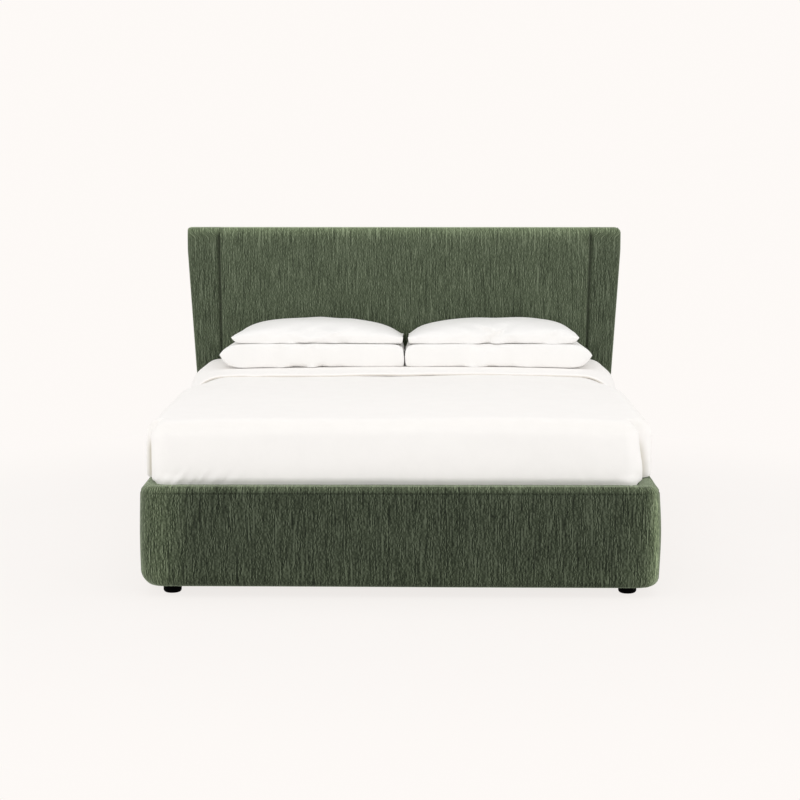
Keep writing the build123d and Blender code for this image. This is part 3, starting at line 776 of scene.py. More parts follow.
def wing_pad(corner_radius, sign):
    """One wing, as for the right side: its plan at each height, flaring, and rounded at the top.

    From the deep crease beside the pad the front comes forward as two exponentials of the distance
    from it, to a rounded outer edge. Then the side runs straight to the back, and hidden faces
    close it. The front's top edge has the pad's radius, and the outer corner one of its own.
    """
    crease_x = wing_low.x
    flare_top = headboard_top - wing_flare_below_top
    low_count = np.array([0, 1.0, 2.2, 3.8]) * mm
    rise = np.linspace(wing_low.z + 16 * mm, headboard_top - 60 * mm, 50)
    quarter = np.radians(np.linspace(0, 90, 13))
    upper = headboard_top - pad_top_radius * (1 - np.sin(quarter))
    middle = np.linspace(headboard_top - 60 * mm, upper[0], 5)[1:-1]
    z = np.concatenate([wing_low.z + low_count, rise, middle, upper])[:, None]
    top_distance = headboard_top - z
    front_inset = rounded_in(top_distance, pad_top_radius)
    low_inset = wing_lower_radius
    low_inset = low_inset * np.clip(1 - (z - wing_low.z) / wing_lower_radius, 0, 1) ** 2
    side_inset = rounded_in(top_distance, corner_radius) + low_inset
    back_line = back_y - rounded_in(top_distance, pad_rear_radius)
    flare = np.clip((z - rail_top) / (flare_top - rail_top), 0, 1)
    outer = wing_rail_half + (headboard_half_top - wing_rail_half) * flare - side_inset
    opened = crease_share(z)
    edge_x = outer - wing_edge_radius
    t = np.linspace(0, 1, 34)
    front_x = crease_x + (edge_x - crease_x) * t**1.6
    away = front_x - crease_x
    forward = sum(share * np.exp(-away / length) for share, length in crease_curve)
    deep = crease_depth * forward * opened
    hollow = wing_hollow * 4 * t * (1 - t) * opened
    level = pad_y + pad_crown * (1 - opened) + wing_edge_set * opened
    front_line = level + deep + hollow + front_inset + low_inset
    turn = np.radians(np.linspace(0, 90, 12))[1:]
    round_x = edge_x + wing_edge_radius * np.sin(turn)
    round_y = front_line[:, -1:] + wing_edge_radius * (1 - np.cos(turn))
    round_y = np.minimum(round_y, back_line - mm)
    back = np.linspace(0, 1, 7)[1:]
    side_y = round_y[:, -1:] + (back_line - round_y[:, -1:]) * back
    side_x = outer + 0 * side_y
    hidden_x = crease_x + 0 * outer
    x = np.concatenate([front_x, round_x, side_x, hidden_x, hidden_x], axis=1)
    y = np.concatenate([front_line, round_y, side_y, back_line, front_line[:, :1]], axis=1)
    heights = z + 0 * x
    soft = ripples(x, heights, 17, 5, (0.15, 0.5), wing_unevenness)
    y = y + soft * opened * (y < facing_y - 10 * mm)
    points = stack(x + sign * crease_shift(x, heights, sign), y, heights)
    uv = stack(arc_lengths(points, 1), heights)
    # Painted light: the top edge's painted highlight, less a painted shade that darkens the wings
    # against the pad, the right more.
    wing_painted_light = painted_top_highlight(heights) - (6 + 2 * sign) / 100
    return [(points, uv, wing_painted_light), *end_caps(points, uv, uv_step=(0, 30 * mm))]


def wing_half_at_rail():
    """Half the headboard's width at the rail, from the wing's own lowest corners."""
    mesh = frame["nodes"]["right_wing_pad"].data
    places = np.array([vertex.co for vertex in mesh.vertices])
    lowest = places[places[:, 2] < wing_low.z + mm]
    return float(lowest[:, 0].max())


wing_rail_half = wing_half_at_rail()


# Bedding


def soft_box(x, y, depth, half, front, top, corner, shoulder):
    """Points of a box, rounded at its two upright front corners and along its upper edges.

    x and y lie on the box's plan and depth is the distance below its top. A corner square (a, b)
    goes to the quarter disc of the same size along its rays, first in plan and then over the
    edge. Returns the points, their outward normals, the way outwards in plan and how far inside
    the plan's edge each lies.
    """
    a = np.clip(np.abs(x) - (half - corner), 0, corner) / corner
    b = np.clip(front + corner - y, 0, corner) / corner
    reach = np.maximum(a, b)
    ray = np.maximum(np.hypot(a, b), tiny)
    a, b = reach * a / ray, reach * b / ray
    side = np.sign(x)
    plan_x = np.where(np.abs(x) > half - corner, side * (half - corner + corner * a), x)
    plan_y = np.where(y < front + corner, front + corner - corner * b, y)
    out = np.maximum(np.hypot(a, b), tiny)
    way_x, way_y = side * a / out, -b / out
    inside = corner * (1 - np.hypot(a, b))
    up = np.clip(shoulder - depth, 0, shoulder) / shoulder
    outward = np.clip(shoulder - inside, 0, shoulder) / shoulder
    length = np.maximum(np.hypot(up, outward), tiny)
    up, outward = up / length, outward / length
    shift = inside - np.where(inside > shoulder, inside, shoulder * (1 - outward))
    new_depth = np.where(depth > shoulder, depth, shoulder * (1 - up))
    points = stack(plan_x + way_x * shift, plan_y + way_y * shift, top - new_depth)
    return points, stack(way_x * outward, way_y * outward, up), (way_x, way_y), inside


# The lower layer: its box, how much rounder the edges get, and how the top falls to the sides
duvet_thick = 30 * mm
duvet_corner = 62 * mm
duvet_shoulder = 54 * mm
duvet_front = duvet_low.y
duvet_head = duvet_high.y
duvet_top = mattress_high.z + duvet_thick
duvet_foot_half = 838 * mm
duvet_side_half = 866 * mm
hem_gap = 3 * mm
edge_size = 15 * mm
turned_length = 668 * mm
hem_softness, hem_soft_width = 82 * mm, 190 * mm
head_softness, head_soft_length = 10 * mm, 300 * mm
crown_fall, crown_half = 13 * mm, 800 * mm
dip_place, dip_depth, dip_width = -430 * mm, 4 * mm, 240 * mm
border = np.array([0, 0.5, 1.9, 4.0, 7.0, 10.5, 14.5, 20]) * mm
shoulder_steps = np.linspace(0, duvet_shoulder, 10)
# How far the turned-back end's hem shows the cloth's reverse with painted shade, and how much
# painted shade darkens the rolled edges
hem_reverse_and_shade = 0.3
shoulder_painted_shade = 0.065

# Its hanging sides: set over before the slits, further out with swags and folds behind them
hang_length = 120 * mm
side_start, side_fade = 700 * mm, 120 * mm
left_foot_shift = 5.5 * mm
right_foot_shift, right_foot_lean = 15 * mm, 14 * mm
lean_start, lean_height = 420 * mm, 140 * mm
side_fold = 2.2 * mm
swag_depth, swag_length = 4 * mm, 430 * mm
slit_y = duvet_front + 132 * mm
slit_width = 20 * mm
slit_top, slit_fade = 545 * mm, 60 * mm
slit_lip, slit_lip_set, slit_lip_width = 4 * mm, 26 * mm, 16 * mm
right_slit_share = 0.45
widening_length, behind_length = 16 * mm, 60 * mm

# Its front: drawn in behind the foot rail, bunched at both corners and puckered near the rail
tuck_depth = 40 * mm
drawn_height, drawn_clearance = 15 * mm, 2 * mm
corner_place, corner_width = 790 * mm, 50 * mm
bunch_place, bunch_depth, bunch_width = 778 * mm, 9 * mm, 30 * mm
bunch_rise, bunch_height = 12 * mm, 18 * mm
pucker_depth, pucker_drop, pucker_height = 2.6 * mm, 4 * mm, 40 * mm
slack_depth = 1.8 * mm
# Where the front is gathered near the rail: place, width and how much more than elsewhere
gathers = ((-680 * mm, 120 * mm, 1.0), (640 * mm, 120 * mm, 0.35))


def crowned(x):
    """How far the bedding's top lies below its middle: a cube of the distance and a soft dip."""
    fall = crown_fall * np.clip(np.abs(x) / crown_half, 0, 1.05) ** 3
    return fall + dip_depth * bell(x, dip_place, dip_width)


def edge_share(distance, size):
    """The thickness near a free edge as a share: half an ellipse of the given size."""
    return np.sqrt(np.clip(1 - (1 - np.clip(distance / size, 0, 1)) ** 2, 0, 1))


def softer(y):
    """How much rounder the duvet's upper edges are where its end turns back, and at the head.

    A bell about the turned-back hem, and a smooth step from there towards the head.
    """
    to_hem = y - duvet_head + turned_length
    at_head = head_softness * smooth_step(to_hem / head_soft_length)
    return hem_softness * bell(to_hem, 0, hem_soft_width) + at_head


def hanging(points, top):
    """The points' coordinates and side, how far below the top they are and how far to the sides."""
    px, py, pz = points[..., 0], points[..., 1], points[..., 2]
    hang = smooth_step((top - pz) / hang_length)
    sideways = smooth_step((np.abs(px) - side_start) / side_fade)
    return px, py, pz, np.sign(px), hang, sideways


def lowered_by_crown(px, pz):
    """The height less the bedding's crown, which fades out towards the rail's top."""
    return pz - crowned(px) * smooth_step((pz - rail_top) / hang_length)


def layer_grids(x, y, share, half, end_edge, hem_edge):
    """The grids of a layer's top and both sides: x, y, height share, thickness share and side."""
    thin = np.minimum(hem_edge[:, None], end_edge)
    sides = [(sign * half, y, share[:, None], thin, sign) for sign in (-1, 1)]
    return [(x[:, None], y, 1.0, end_edge + 0 * x[:, None], 0), *sides]


def duvet_lower_surface(x, y, share):
    """The duvet's outer surface from its hem (share 0) up to the top (share 1), with its folds.

    A soft box. Behind the slits its sides stand further out, with a sine's swags and rippled
    folds; before them they are set over by smooth steps. The front is drawn in behind the rail,
    bunched at both corners and puckered near the rail, and the top falls by the crown.
    Returns points, normals and how far the slit at each foot corner opens at that height.
    """
    a = np.clip(np.abs(x) - (duvet_foot_half - duvet_corner), 0, duvet_corner)
    b = np.clip(duvet_front + duvet_corner - y, 0, duvet_corner)
    turn = np.arctan2(b, np.maximum(a, tiny)) / (math.pi / 2)
    tucked = smooth_step((turn - 0.35) / 0.5)
    depth = (duvet_top - rail_top - hem_gap + tuck_depth * tucked) * (1 - share)
    extra = softer(y)
    sizes = (duvet_foot_half, duvet_front, duvet_top, duvet_corner + extra, duvet_shoulder + extra)
    points, normals, *_ = soft_box(x, y, depth, *sizes)
    px, py, pz, side, hang, sideways = hanging(points, duvet_top)
    widen = (duvet_side_half - duvet_foot_half) * smooth_step((py - slit_y) / widening_length)
    swag = swag_depth * np.sin(2 * math.pi * (py - slit_y) / swag_length) * hang
    fold = ripples(py, 0.3 * pz, 23, 4, (0.09, 0.3), side_fold) * hang
    behind = smooth_step((py - slit_y) / behind_length)
    lean = right_foot_shift + right_foot_lean * smooth_step((pz - lean_start) / lean_height)
    set_left = np.where(side > 0, lean, left_foot_shift) * sideways * (1 - behind)
    px = px + side * sideways * (widen + (swag + fold) * behind) - set_left
    open_slit = smooth_step((slit_top - pz) / slit_fade) * sideways
    px = px + side * slit_lip * bell(py, slit_y + slit_lip_set, slit_lip_width) * open_slit
    on_front = (py < duvet_front + 100 * mm) & (normals[..., 1] < -0.3)
    below = smooth_step((rail_top + drawn_height - pz) / drawn_height)
    corner_zone = bell(np.abs(px), corner_place, corner_width)
    drawn = (foot_inner_y + drawn_clearance - duvet_front) * below * (1 - 0.8 * corner_zone)
    bunch = bunch_depth * bell(np.abs(px), bunch_place, bunch_width)
    py = py + (drawn - bunch * bell(pz, rail_top + bunch_rise, bunch_height)) * on_front
    flat = normals[..., 2]
    soft = ripples(px, py, 29, 9, (0.25, 0.9), 2.2 * mm)
    fine = ripples(px, py, 31, 12, (0.06, 0.2), 0.35 * mm)
    pz = lowered_by_crown(px, pz) + (soft + fine) * flat
    front_face = np.clip(-normals[..., 1], 0, 1) * hang
    near_rail = bell(pz, rail_top - pucker_drop, pucker_height)
    gathered = sum((much * bell(px, place, width) for place, width, much in gathers), 0.3)
    fan = px * (1 + 1.2 * (pz - rail_top))
    puckers = ripples(fan, 0.25 * pz, 37, 7, (0.022, 0.07), pucker_depth) * near_rail * gathered
    slack = ripples(px, pz, 41, 6, (0.18, 0.6), slack_depth)
    py = py + (puckers + slack) * front_face
    return stack(px, py, pz), normals, open_slit


def duvet_patches():
    """The duvet's lower layer: top, front and both sides, each with an outer and an inner skin."""
    dense_y = np.concatenate([np.arange(0, 62, 6.2), np.arange(62, 112, 5), np.arange(112, 154, 2)])
    y = np.concatenate(
        [
            duvet_front + dense_y * mm,
            duvet_front + np.arange(154, 246, 5) * mm,
            np.linspace(duvet_front + 0.25, duvet_head - border[-1], 88),
            duvet_head - border[::-1][1:],
        ]
    )
    edge_x = np.arange(0, 66, 6) * mm
    left = -duvet_foot_half + edge_x
    gathered = np.arange(-duvet_foot_half + 66 * mm, -520 * mm, 5.5 * mm)
    even = np.linspace(-515 * mm, duvet_foot_half - 66 * mm, 100)
    x = np.concatenate([left, gathered, even, -left[::-1]])
    reach = duvet_top - rail_top
    down = np.concatenate([border, np.linspace(20 * mm, reach - duvet_shoulder, 18)[1:-1]])
    down = np.concatenate([down, reach - duvet_shoulder + shoulder_steps])
    share = down / reach
    hem_edge = edge_share(down, edge_size)
    made = []
    head_edge = edge_share(duvet_head - y, edge_size)
    grids = layer_grids(x, y, share, duvet_foot_half, head_edge, hem_edge)
    grids.append((x, duvet_front, share[:, None], hem_edge[:, None] + 0 * x, 2))
    for patch_x, patch_y, patch_share, thin, face in grids:
        patch_x, patch_y, patch_share = stack(patch_x, patch_y, patch_share).transpose(2, 0, 1)
        surface, normals, slit = duvet_lower_surface(patch_x, patch_y, patch_share)
        slit = slit * np.where(patch_x > 0, right_slit_share, 1.0)
        drop = (1 - patch_share) * reach
        if face == 2:
            uv = stack(patch_x, patch_y - drop)
        else:
            uv = stack(patch_x + face * drop, patch_y)
        outer, inner = skins(surface, normals, duvet_thick, thin)
        opened = slit_width * slit * thin * bell(patch_y, slit_y, 6 * mm)
        outer[..., 0] -= np.sign(patch_x) * opened
        # Painted shade: the rolled upper edges and the slit's crevice are drawn towards the shade
        # colour.
        up = normals[..., 2] ** 2
        rolled = shoulder_painted_shade * 4 * up * (1 - up)
        slit_painted_shade = slit * thin * bell(patch_y, slit_y + 5 * mm, 5 * mm)
        made.append((outer, uv, np.maximum(rolled, slit_painted_shade)))
        made.append((inner, uv))
    return made


# The turned-back end: its size, its folds and bulge, and where its top is even or drops
turned_top = duvet_high.z
turned_half = 872 * mm
turned_thick = 13 * mm
turned_edge_size = 7 * mm
turned_edge = np.array([0, 0.3, 1.1, 2.4, 4.2, 6.2, 8.5, 12, 17]) * mm
turned_rounder = 12 * mm
turned_fold = 2.0 * mm
turned_bulge, bulge_from_head, bulge_length = 9 * mm, 320 * mm, 200 * mm
turned_unevenness, even_from_head, uneven_fade = 1.4 * mm, 450 * mm, 60 * mm
head_drop, head_drop_length = 10 * mm, 25 * mm
hem_drop, hem_drop_length = 3 * mm, 30 * mm
# The hem's line: depth and length of two waves, and place, depth and width of a bow to the foot
hem_wave, hem_wave_length = 4 * mm, 560 * mm
short_wave, short_wave_length = 3 * mm, 230 * mm
hem_bow_place, hem_bow, hem_bow_width = -420 * mm, 46 * mm, 300 * mm
# Where the hem lies higher or lower: place, width and height in mm
hem_lifts = ((-470, 200, 2.5), (360, 90, 2.0), (-590, 40, -2.5), (20, 60, -2.5))
lift_length = 40 * mm


def turned_back_surface(x, share_y, share):
    """The turned-back end's outer surface, from its wavy hem (share_y 0) to the head (1).

    A soft box that starts at a line of two sines and a bell. Its sides have rippled folds and a
    bulge, its top falls by the crown, and bells along the hem lift or lower it.
    """
    wave = hem_wave * np.sin(2 * math.pi * x / hem_wave_length + 0.6)
    wave = wave - hem_bow * bell(x, hem_bow_place, hem_bow_width)
    wave = wave + short_wave * np.sin(2 * math.pi * x / short_wave_length)
    hem_y = duvet_head - turned_length + wave
    y = hem_y + (duvet_head - hem_y) * share_y
    depth = (turned_top - rail_top - hem_gap) * (1 - share)
    edge_radius = duvet_shoulder + softer(y) + turned_rounder
    sizes = (turned_half, duvet_front - 1, turned_top, edge_radius, edge_radius)
    points, normals, *_ = soft_box(x, y, depth, *sizes)
    px, py, pz, side, hang, sideways = hanging(points, turned_top)
    fold = ripples(py, 0.3 * pz, 43, 4, (0.1, 0.35), turned_fold) * hang
    bulge = turned_bulge * bell(py, duvet_head - bulge_from_head, bulge_length)
    px = px + side * sideways * (fold + bulge)
    flat = normals[..., 2]
    to_hem = py - hem_y
    lifts = sum(height * bell(px, place * mm, width * mm) for place, width, height in hem_lifts)
    lift = lifts * mm * bell(to_hem, 0, lift_length)
    uneven = smooth_step((duvet_head - py - even_from_head) / uneven_fade)
    soft = ripples(px, py, 47, 8, (0.3, 0.9), turned_unevenness) * uneven
    pz = lowered_by_crown(px, pz) + (lift + soft) * flat
    lowered = smooth_step((py - duvet_head + head_drop_length) / head_drop_length) * head_drop
    lowered = lowered + hem_drop * bell(to_hem, 0, hem_drop_length)
    pz = pz - lowered * flat
    return stack(px, py, pz), normals


def turned_back_patches():
    """The folded-back end over the lower layer: top and both sides, outer and inner skins."""
    y_distance = steps_between(0, turned_length, 13 * mm, turned_edge, turned_edge)
    share_y = y_distance / turned_length
    edge_x = np.arange(0, 114, 6) * mm
    x = steps_between(-turned_half, turned_half, 12 * mm, edge_x, edge_x)
    reach = turned_top - rail_top
    down = np.concatenate([turned_edge, np.linspace(17 * mm, reach, 30)[1:]])
    share = down / reach
    ends = edge_share(np.minimum(y_distance, turned_length - y_distance), turned_edge_size)
    hem_edge = edge_share(down, turned_edge_size)
    made = []
    grids = layer_grids(x, share_y, share, turned_half, ends, hem_edge)
    for patch_x, patch_y, patch_share, thin, face in grids:
        patch_x, patch_y, patch_share = stack(patch_x, patch_y, patch_share).transpose(2, 0, 1)
        surface, normals = turned_back_surface(patch_x, patch_y, patch_share)
        drop = (1 - patch_share) * reach
        along = patch_y * turned_length
        uv = stack(patch_x + face * drop, along)
        outer, inner = skins(surface, normals, turned_thick, thin)
        # The hem and the inner skin just behind it take the reverse colour: the reverse side, with
        # painted shade under the hem.
        made.append((outer, uv, hem_reverse_and_shade * (along < 0.1 * mm)))
        made.append((inner, uv, hem_reverse_and_shade * smooth_step((9 * mm - along) / (3 * mm))))
    return made


def mattress_patches():
    """A soft block from a cube's six grids, each point rounded as in the box's front upper part.

    The top and bottom are quilted in diamonds and the border in two channels, with a taped edge.
    """
    centre = np.array((mattress_low + mattress_high) / 2)
    half = np.array((mattress_high - mattress_low) / 2)
    corner = 60 * mm
    edge = 18 * mm
    quilt_pitch = 160 * mm
    quilt_depth = 5 * mm
    channel_height, channel_depth, channel_width = 45 * mm, 4 * mm, 5 * mm
    border_inset = 1.5 * mm
    near = np.array([0, 3, 6, 9, 12, 16, 21, 28, 36, 44, 52, 60]) * mm
    x = steps_between(-half[0], half[0], 22 * mm, near, near)
    y = steps_between(-half[1], half[1], 22 * mm, near, near)
    near_z = np.array([0, 3, 6, 9, 12, 15, 18]) * mm
    z = steps_between(-half[2], half[2], 8 * mm, near_z, near_z)
    made = []
    for axis in range(3):
        first, second = [n for n in range(3) if n != axis]
        places = (x, y, z)
        for sign in (-1, 1):
            grid = [None, None, None]
            grid[axis] = np.full((len(places[first]), len(places[second])), sign * half[axis])
            grid[first] = places[first][:, None] + 0 * grid[axis]
            grid[second] = places[second][None, :] + 0 * grid[axis]
            _, side_y, side_z = np.sign(grid)
            depth = half[2] - np.abs(grid[2])
            sizes = (half[0], -half[1], half[2], corner, edge)
            points, _, way, inside = soft_box(grid[0], -np.abs(grid[1]), depth, *sizes)
            px, py, pz = points[..., 0], -side_y * points[..., 1], side_z * points[..., 2]
            on_top = smooth_step((inside - 30 * mm) / (40 * mm)) * (depth < mm)
            one_way = np.sin(math.pi * (px + py) / quilt_pitch)
            other_way = np.sin(math.pi * (px - py) / quilt_pitch)
            diamond = np.abs(one_way * other_way)
            pz = pz - side_z * quilt_depth * (1 - diamond**0.4) * on_top
            on_side = smooth_step((depth - 14 * mm) / (10 * mm)) * (inside < mm)
            channels = bell(np.abs(pz), channel_height, channel_width)
            draw = (channel_depth * channels + border_inset) * on_side
            points = stack(px - way[0] * draw, py + side_y * way[1] * draw, pz) + centre
            made.append((points, stack(grid[first], grid[second])))
    return made


# Pillows

pillow_step = 10 * mm
pillow_bulge = 8 * mm
pillow_loft = 40 * mm
side_drawn, front_drawn = 5 * mm, 9 * mm
crest_half = 30
crest_reach = 4
pillow_pressure = 5.0
pillow_frames = 22
under_power = 9
# node, left and right ends, seam over the bottom, top, the start and length in mm of the
# fall-off towards each end, how plump its edges are and how far it settles into the duvet
pillow_places = [
    ("lower_left_pillow", (-0.754, 0.0052), 53 * mm, 0.7062, ((0, 27), (-6, 15)), 7.0, 0.8),
    ("lower_right_pillow", (0.0068, 0.776), 53 * mm, 0.7062, ((-6, 15), (0, 27)), 7.0, 0.8),
    ("upper_left_pillow", (-0.707, 0.001), 27 * mm, 0.793, ((0, 82), (8, 92)), 1.0, 0.0),
    ("upper_right_pillow", (0.019, 0.724), 27 * mm, 0.793, ((0, 88), (-4, 60)), 1.0, 0.0),
]


def pillow_bag(width, depth):
    """Two sheets sewn round the edge: sides bowed out, height from two quartic arches."""
    u = steps_between(-1, 1, 2 * pillow_step / width)[:, None]
    v = steps_between(-1, 1, 2 * pillow_step / depth)[None, :]
    x = width / 2 * u + pillow_bulge * u * (1 - v**2)
    y = depth / 2 * v + pillow_bulge * v * (1 - u**2)
    arch = np.sqrt(np.clip((1 - u**4) * (1 - v**4), 0, 1))
    return [(stack(x, y, sign * pillow_loft / 2 * arch), stack(x, y)) for sign in (1, -1)]


def inflate(mesh, name):
    """The mesh's points after a cloth simulation that only air pressure drives."""
    bag = add_object(name, mesh)
    cloth = bag.modifiers.new("air", "CLOTH")
    settings = {
        "quality": 6,
        "mass": 0.25,
        "tension_stiffness": 14,
        "compression_stiffness": 14,
        "shear_stiffness": 6,
        "bending_stiffness": 0.15,
        "use_pressure": True,
        "uniform_pressure_force": pillow_pressure,
    }
    for key, value in settings.items():
        setattr(cloth.settings, key, value)
    cloth.settings.effector_weights.gravity = 0
    cloth.collision_settings.use_collision = False
    cloth.point_cache.frame_start = 1
    cloth.point_cache.frame_end = pillow_frames
    scene = bpy.context.scene
    for step in range(1, pillow_frames + 1):
        scene.frame_set(step)
    shaped = bag.evaluated_get(bpy.context.evaluated_depsgraph_get())
    places = np.zeros(len(mesh.vertices) * 3, np.float32)
    shaped.data.vertices.foreach_get("co", places)
    scene.frame_set(1)
    bpy.data.objects.remove(bag)
    return places.reshape(-1, 3).astype(float)


def relaxed(places, edges, times):
    """The places, each moved half-way to the middle of its neighbours, some times over."""
    count = np.bincount(edges.ravel(), minlength=len(places))[:, None]
    for _ in range(times):
        total = np.zeros_like(places)
        np.add.at(total, edges[:, 0], places[edges[:, 1]])
        np.add.at(total, edges[:, 1], places[edges[:, 0]])
        places = (places + total / count) / 2
    return places


def fall_off(distance, start, length):
    """1 - exp(-(d - start) / length): a pillow's fullness at a distance from its end."""
    return 1 - np.exp(-np.clip(distance - start, 0, None) / length)


def straightened(value, low_edge, high_edge, low, high):
    """A value between two edges, moved to lie as far between a new low and high."""
    return low + (value - low_edge) / (high_edge - low_edge) * (high - low)


def pillow(node, spans, seam, top, ends, plump, settle, turned, seed):
    """A pillow in its CAD solid's space: an inflated bag with its seam, crest and ends in place.

    The bag's seam is drawn straight between its corners, less a parabola. Its height is a share
    of the crest of its own column, which a running mean smooths, times an exponential fall-off
    from each end. A plump one is pressed from above by a power, and one that settles follows the
    duvet's crown.
    """
    low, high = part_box(node)
    x_low, x_high = spans
    width, depth = x_high - x_low, high.y - low.y
    mesh = make_mesh(node + "_cloth", pillow_bag(width, depth))
    flat = np.zeros(len(mesh.vertices) * 3, np.float32)
    mesh.vertices.foreach_get("co", flat)
    flat = flat.reshape(-1, 3).astype(float)
    edges = np.zeros(len(mesh.edges) * 2, np.int32)
    mesh.edges.foreach_get("vertices", edges)
    places = inflate(mesh, node + "_air")
    places = relaxed(places, edges.reshape(-1, 2), 8)
    if turned:
        flat[:, :2] *= -1
        places[:, :2] *= -1
    x, y, z = places.T
    seam_x = np.abs(flat[:, 2]) < mm / 100
    left = seam_x & (flat[:, 0] < -width / 2 + mm)
    right = seam_x & (flat[:, 0] > width / 2 - mm)
    front = seam_x & (flat[:, 1] < -depth / 2 + mm)
    back = seam_x & (flat[:, 1] > depth / 2 - mm)

    def edge(chosen, along, value):
        order = np.argsort(flat[chosen, along])
        return np.interp(flat[:, along], flat[chosen, along][order], value[chosen][order])

    v = np.clip(flat[:, 1] / depth * 2, -1, 1)
    u = np.clip(flat[:, 0] / width * 2, -1, 1)
    drawn_x = side_drawn * (1 - v**2)
    drawn_y = front_drawn * (1 - u**2)
    new_x = straightened(x, edge(left, 1, x), edge(right, 1, x), x_low + drawn_x, x_high - drawn_x)
    new_y = straightened(y, edge(front, 0, y), edge(back, 0, y), low.y + drawn_y, high.y - drawn_y)
    (start_low, length_low), (start_high, length_high) = ends
    wanted = fall_off(new_x - x_low, start_low * mm, length_low * mm)
    wanted = wanted * fall_off(x_high - new_x, start_high * mm, length_high * mm)
    columns = 2 * crest_half + 1
    own_column = np.clip(((u + 1) * crest_half).astype(int), 0, columns - 1)
    crest = np.zeros(columns)
    np.maximum.at(crest, own_column, np.clip(z, 0, None))
    crest = np.maximum(np.pad(crest, crest_reach, "edge"), z.max() * 0.05)
    window = 2 * crest_reach + 1
    crest = np.convolve(crest, np.ones(window) / window, "valid")
    crest = np.interp(u * crest_half + crest_half, np.arange(columns) + 0.5, crest)
    above = 1 - (1 - np.clip(np.clip(z, 0, None) / crest, 0, 1)) ** plump
    bottom = np.clip(-z, 0, None) / crest
    outer = -new_x + x_high if turned else new_x - x_low
    under = 1 - (1 - np.clip(bottom, 0, 1)) ** under_power
    under = under * fall_off(outer, 0, 0.45 * seam)
    soft = 1 + ripples(new_x, new_y, seed, 6, (0.15, 0.5), 0.015)
    above = np.minimum(above * wanted * soft, 1)
    seam = seam * (1 - 0.9 * smooth_step(v / 2 + 0.5))
    new_z = low.z + seam + (top - low.z - seam) * above - seam * under
    new_z = new_z - settle * crowned(new_x) * (1 - above) * np.maximum(under, 0.5)
    mesh.vertices.foreach_set("co", stack(new_x, new_y, new_z).astype(np.float32).ravel())
    mesh.update()
    return mesh


# Putting the pieces together


def build_upholstery():
    """Rail covers, centre pad and wings."""
    pieces = [
        ("foot_cover_cloth", foot_cover(), shaded_base_green, "foot_rail_cover"),
        ("centre_pad_cloth", centre_pad(), lit_headboard_green, "headboard_centre_pad"),
    ]
    for side, sign in (("left", -1), ("right", 1)):
        cover, wing = side_cover(), wing_pad(wing_corner_radius[side], sign)
        if side == "left":
            cover, wing = mirrored(cover), mirrored(wing)
        pieces.append((side + "_cover_cloth", cover, shaded_base_green, side + "_rail_cover"))
        pieces.append((side + "_wing_cloth", wing, lit_headboard_green, side + "_wing_pad"))
    for name, patches, green, node in pieces:
        add_piece(make_mesh(name, patches), "frame", "green_chenille", green, 0.9, node)


def build_bedding():
    """Mattress, both layers of the duvet and the four pillows."""
    mesh = make_mesh("mattress_cover", mattress_patches())
    add_piece(mesh, "mattress", "mattress_ticking", ticking, 0.95, "mattress")
    mesh = make_mesh("duvet_cloth", duvet_patches())
    add_piece(mesh, "duvet", "white_duvet", duvet_white, 0.4, "duvet")
    mesh = make_mesh("duvet_turned_back", turned_back_patches())
    add_piece(mesh, "duvet", "white_duvet", duvet_white, 0.3)
    for row, (node, *shape) in enumerate(pillow_places):
        mesh = pillow(node, *shape, "right" in node, 61 + row)
        piece = add_piece(mesh, node, "white_pillowcase", pillow_white, 0.7, node)
        smooth = piece.modifiers.new("smooth", "SUBSURF")
        smooth.levels = render_levels
        smooth.render_levels = render_levels


# Studio

backdrop = linear(253.5, 249.5, 246.5)


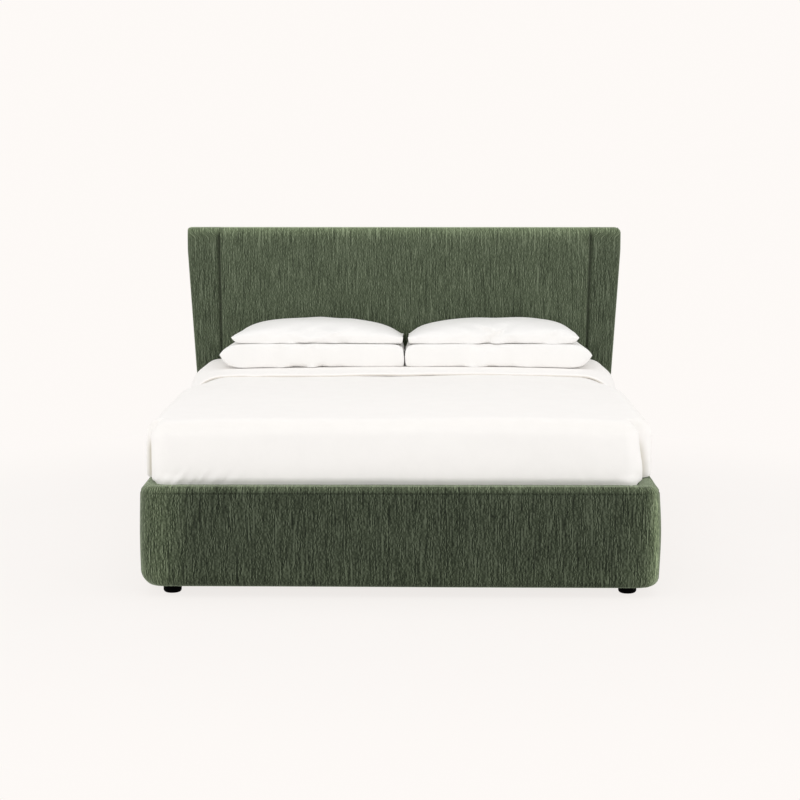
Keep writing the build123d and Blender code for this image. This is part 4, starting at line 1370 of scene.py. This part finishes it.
def build_studio():
    """A pale floor that keeps the bed's shadow, a plain bright surround and soft lamps."""
    size = 60.0
    mesh = bpy.data.meshes.new("studio_floor")
    corners = [(-size, -size, 0), (size, -size, 0), (size, size, 0), (-size, size, 0)]
    mesh.from_pydata(corners, [], [(0, 1, 2, 3)])
    floor = add_object(mesh.name, mesh)
    paint = new_paint("studio_floor")
    place = paint.place()
    distance = paint.node("ShaderNodeVectorMath", {"operation": "LENGTH"}, {0: place}, output=1)
    plain = (distance.above(1.6, 3.2) * 0.16 + 0.84) * paint.direct_rays()
    glow = paint.node("ShaderNodeEmission", inputs={"Color": (*backdrop, 1), "Strength": 1.0})
    grain = paint.noise(place, 4, detail=2)
    tone = paint.mix(grain, (0.82, 0.81, 0.80), (0.86, 0.85, 0.84))
    lit = paint.node("ShaderNodeBsdfDiffuse", inputs={"Color": tone})
    both = paint.node("ShaderNodeMixShader", inputs={0: plain, 1: lit, 2: glow})
    mesh.materials.append(paint.output("ShaderNodeOutputMaterial", both))

    sky = Paint(bpy.data.worlds.new("studio"))
    light = sky.node("ShaderNodeBackground", inputs={"Color": (1, 1, 1, 1), "Strength": 0.72})
    shown = sky.node("ShaderNodeBackground", inputs={"Color": (*backdrop, 1)})
    both = sky.node("ShaderNodeMixShader", inputs={0: sky.direct_rays(), 1: light, 2: shown})
    bpy.context.scene.world = sky.output("ShaderNodeOutputWorld", both)

    lamps = [
        ("overhead_lamp", (0.0, -0.6, 3.6), (0.0, 0.0, 0.3), 4.2, 29),
        ("front_lamp", (-0.4, -6.5, 1.1), (0.0, 0.0, 0.4), 3.0, 73),
        ("left_lamp", (-4.6, -1.0, 1.4), (0.0, 0.0, 0.5), 2.6, 30),
        ("right_lamp", (4.6, -1.2, 1.4), (0.0, 0.0, 0.5), 2.6, 36),
    ]
    for name, place, aim, size, power in lamps:
        lamp = bpy.data.lights.new(name, "AREA")
        lamp.shape = "SQUARE"
        lamp.size = size
        lamp.energy = power
        holder = add_object(name, lamp)
        holder.location = place
        holder.rotation_mode = "QUATERNION"
        holder.rotation_quaternion = (Vector(aim) - Vector(place)).to_track_quat("-Z", "Y")


def build_camera():
    """The photograph's view: from beyond the foot end, a little above the bed and looking down."""
    image_width = 800
    focal_pixels = 2078.5
    to_right, beyond_foot, height = 0.0616, 6.8553, 1.4969
    sensor = 36.0
    pitch = math.radians(6.86)
    yaw = math.radians(0.50)
    camera = bpy.data.cameras.new("camera")
    camera.sensor_fit = "HORIZONTAL"
    camera.sensor_width = sensor
    camera.lens = focal_pixels / image_width * sensor
    camera.clip_end = 200
    holder = add_object("camera", camera)
    holder.location = (to_right, front_y - beyond_foot, height)
    holder.rotation_euler = (math.pi / 2 - pitch, 0, yaw)
    bpy.context.scene.camera = holder


build_camera()
build_studio()
dress_frame_nodes()
build_upholstery()
build_bedding()

bpy.context.scene.view_settings.view_transform = "Standard"
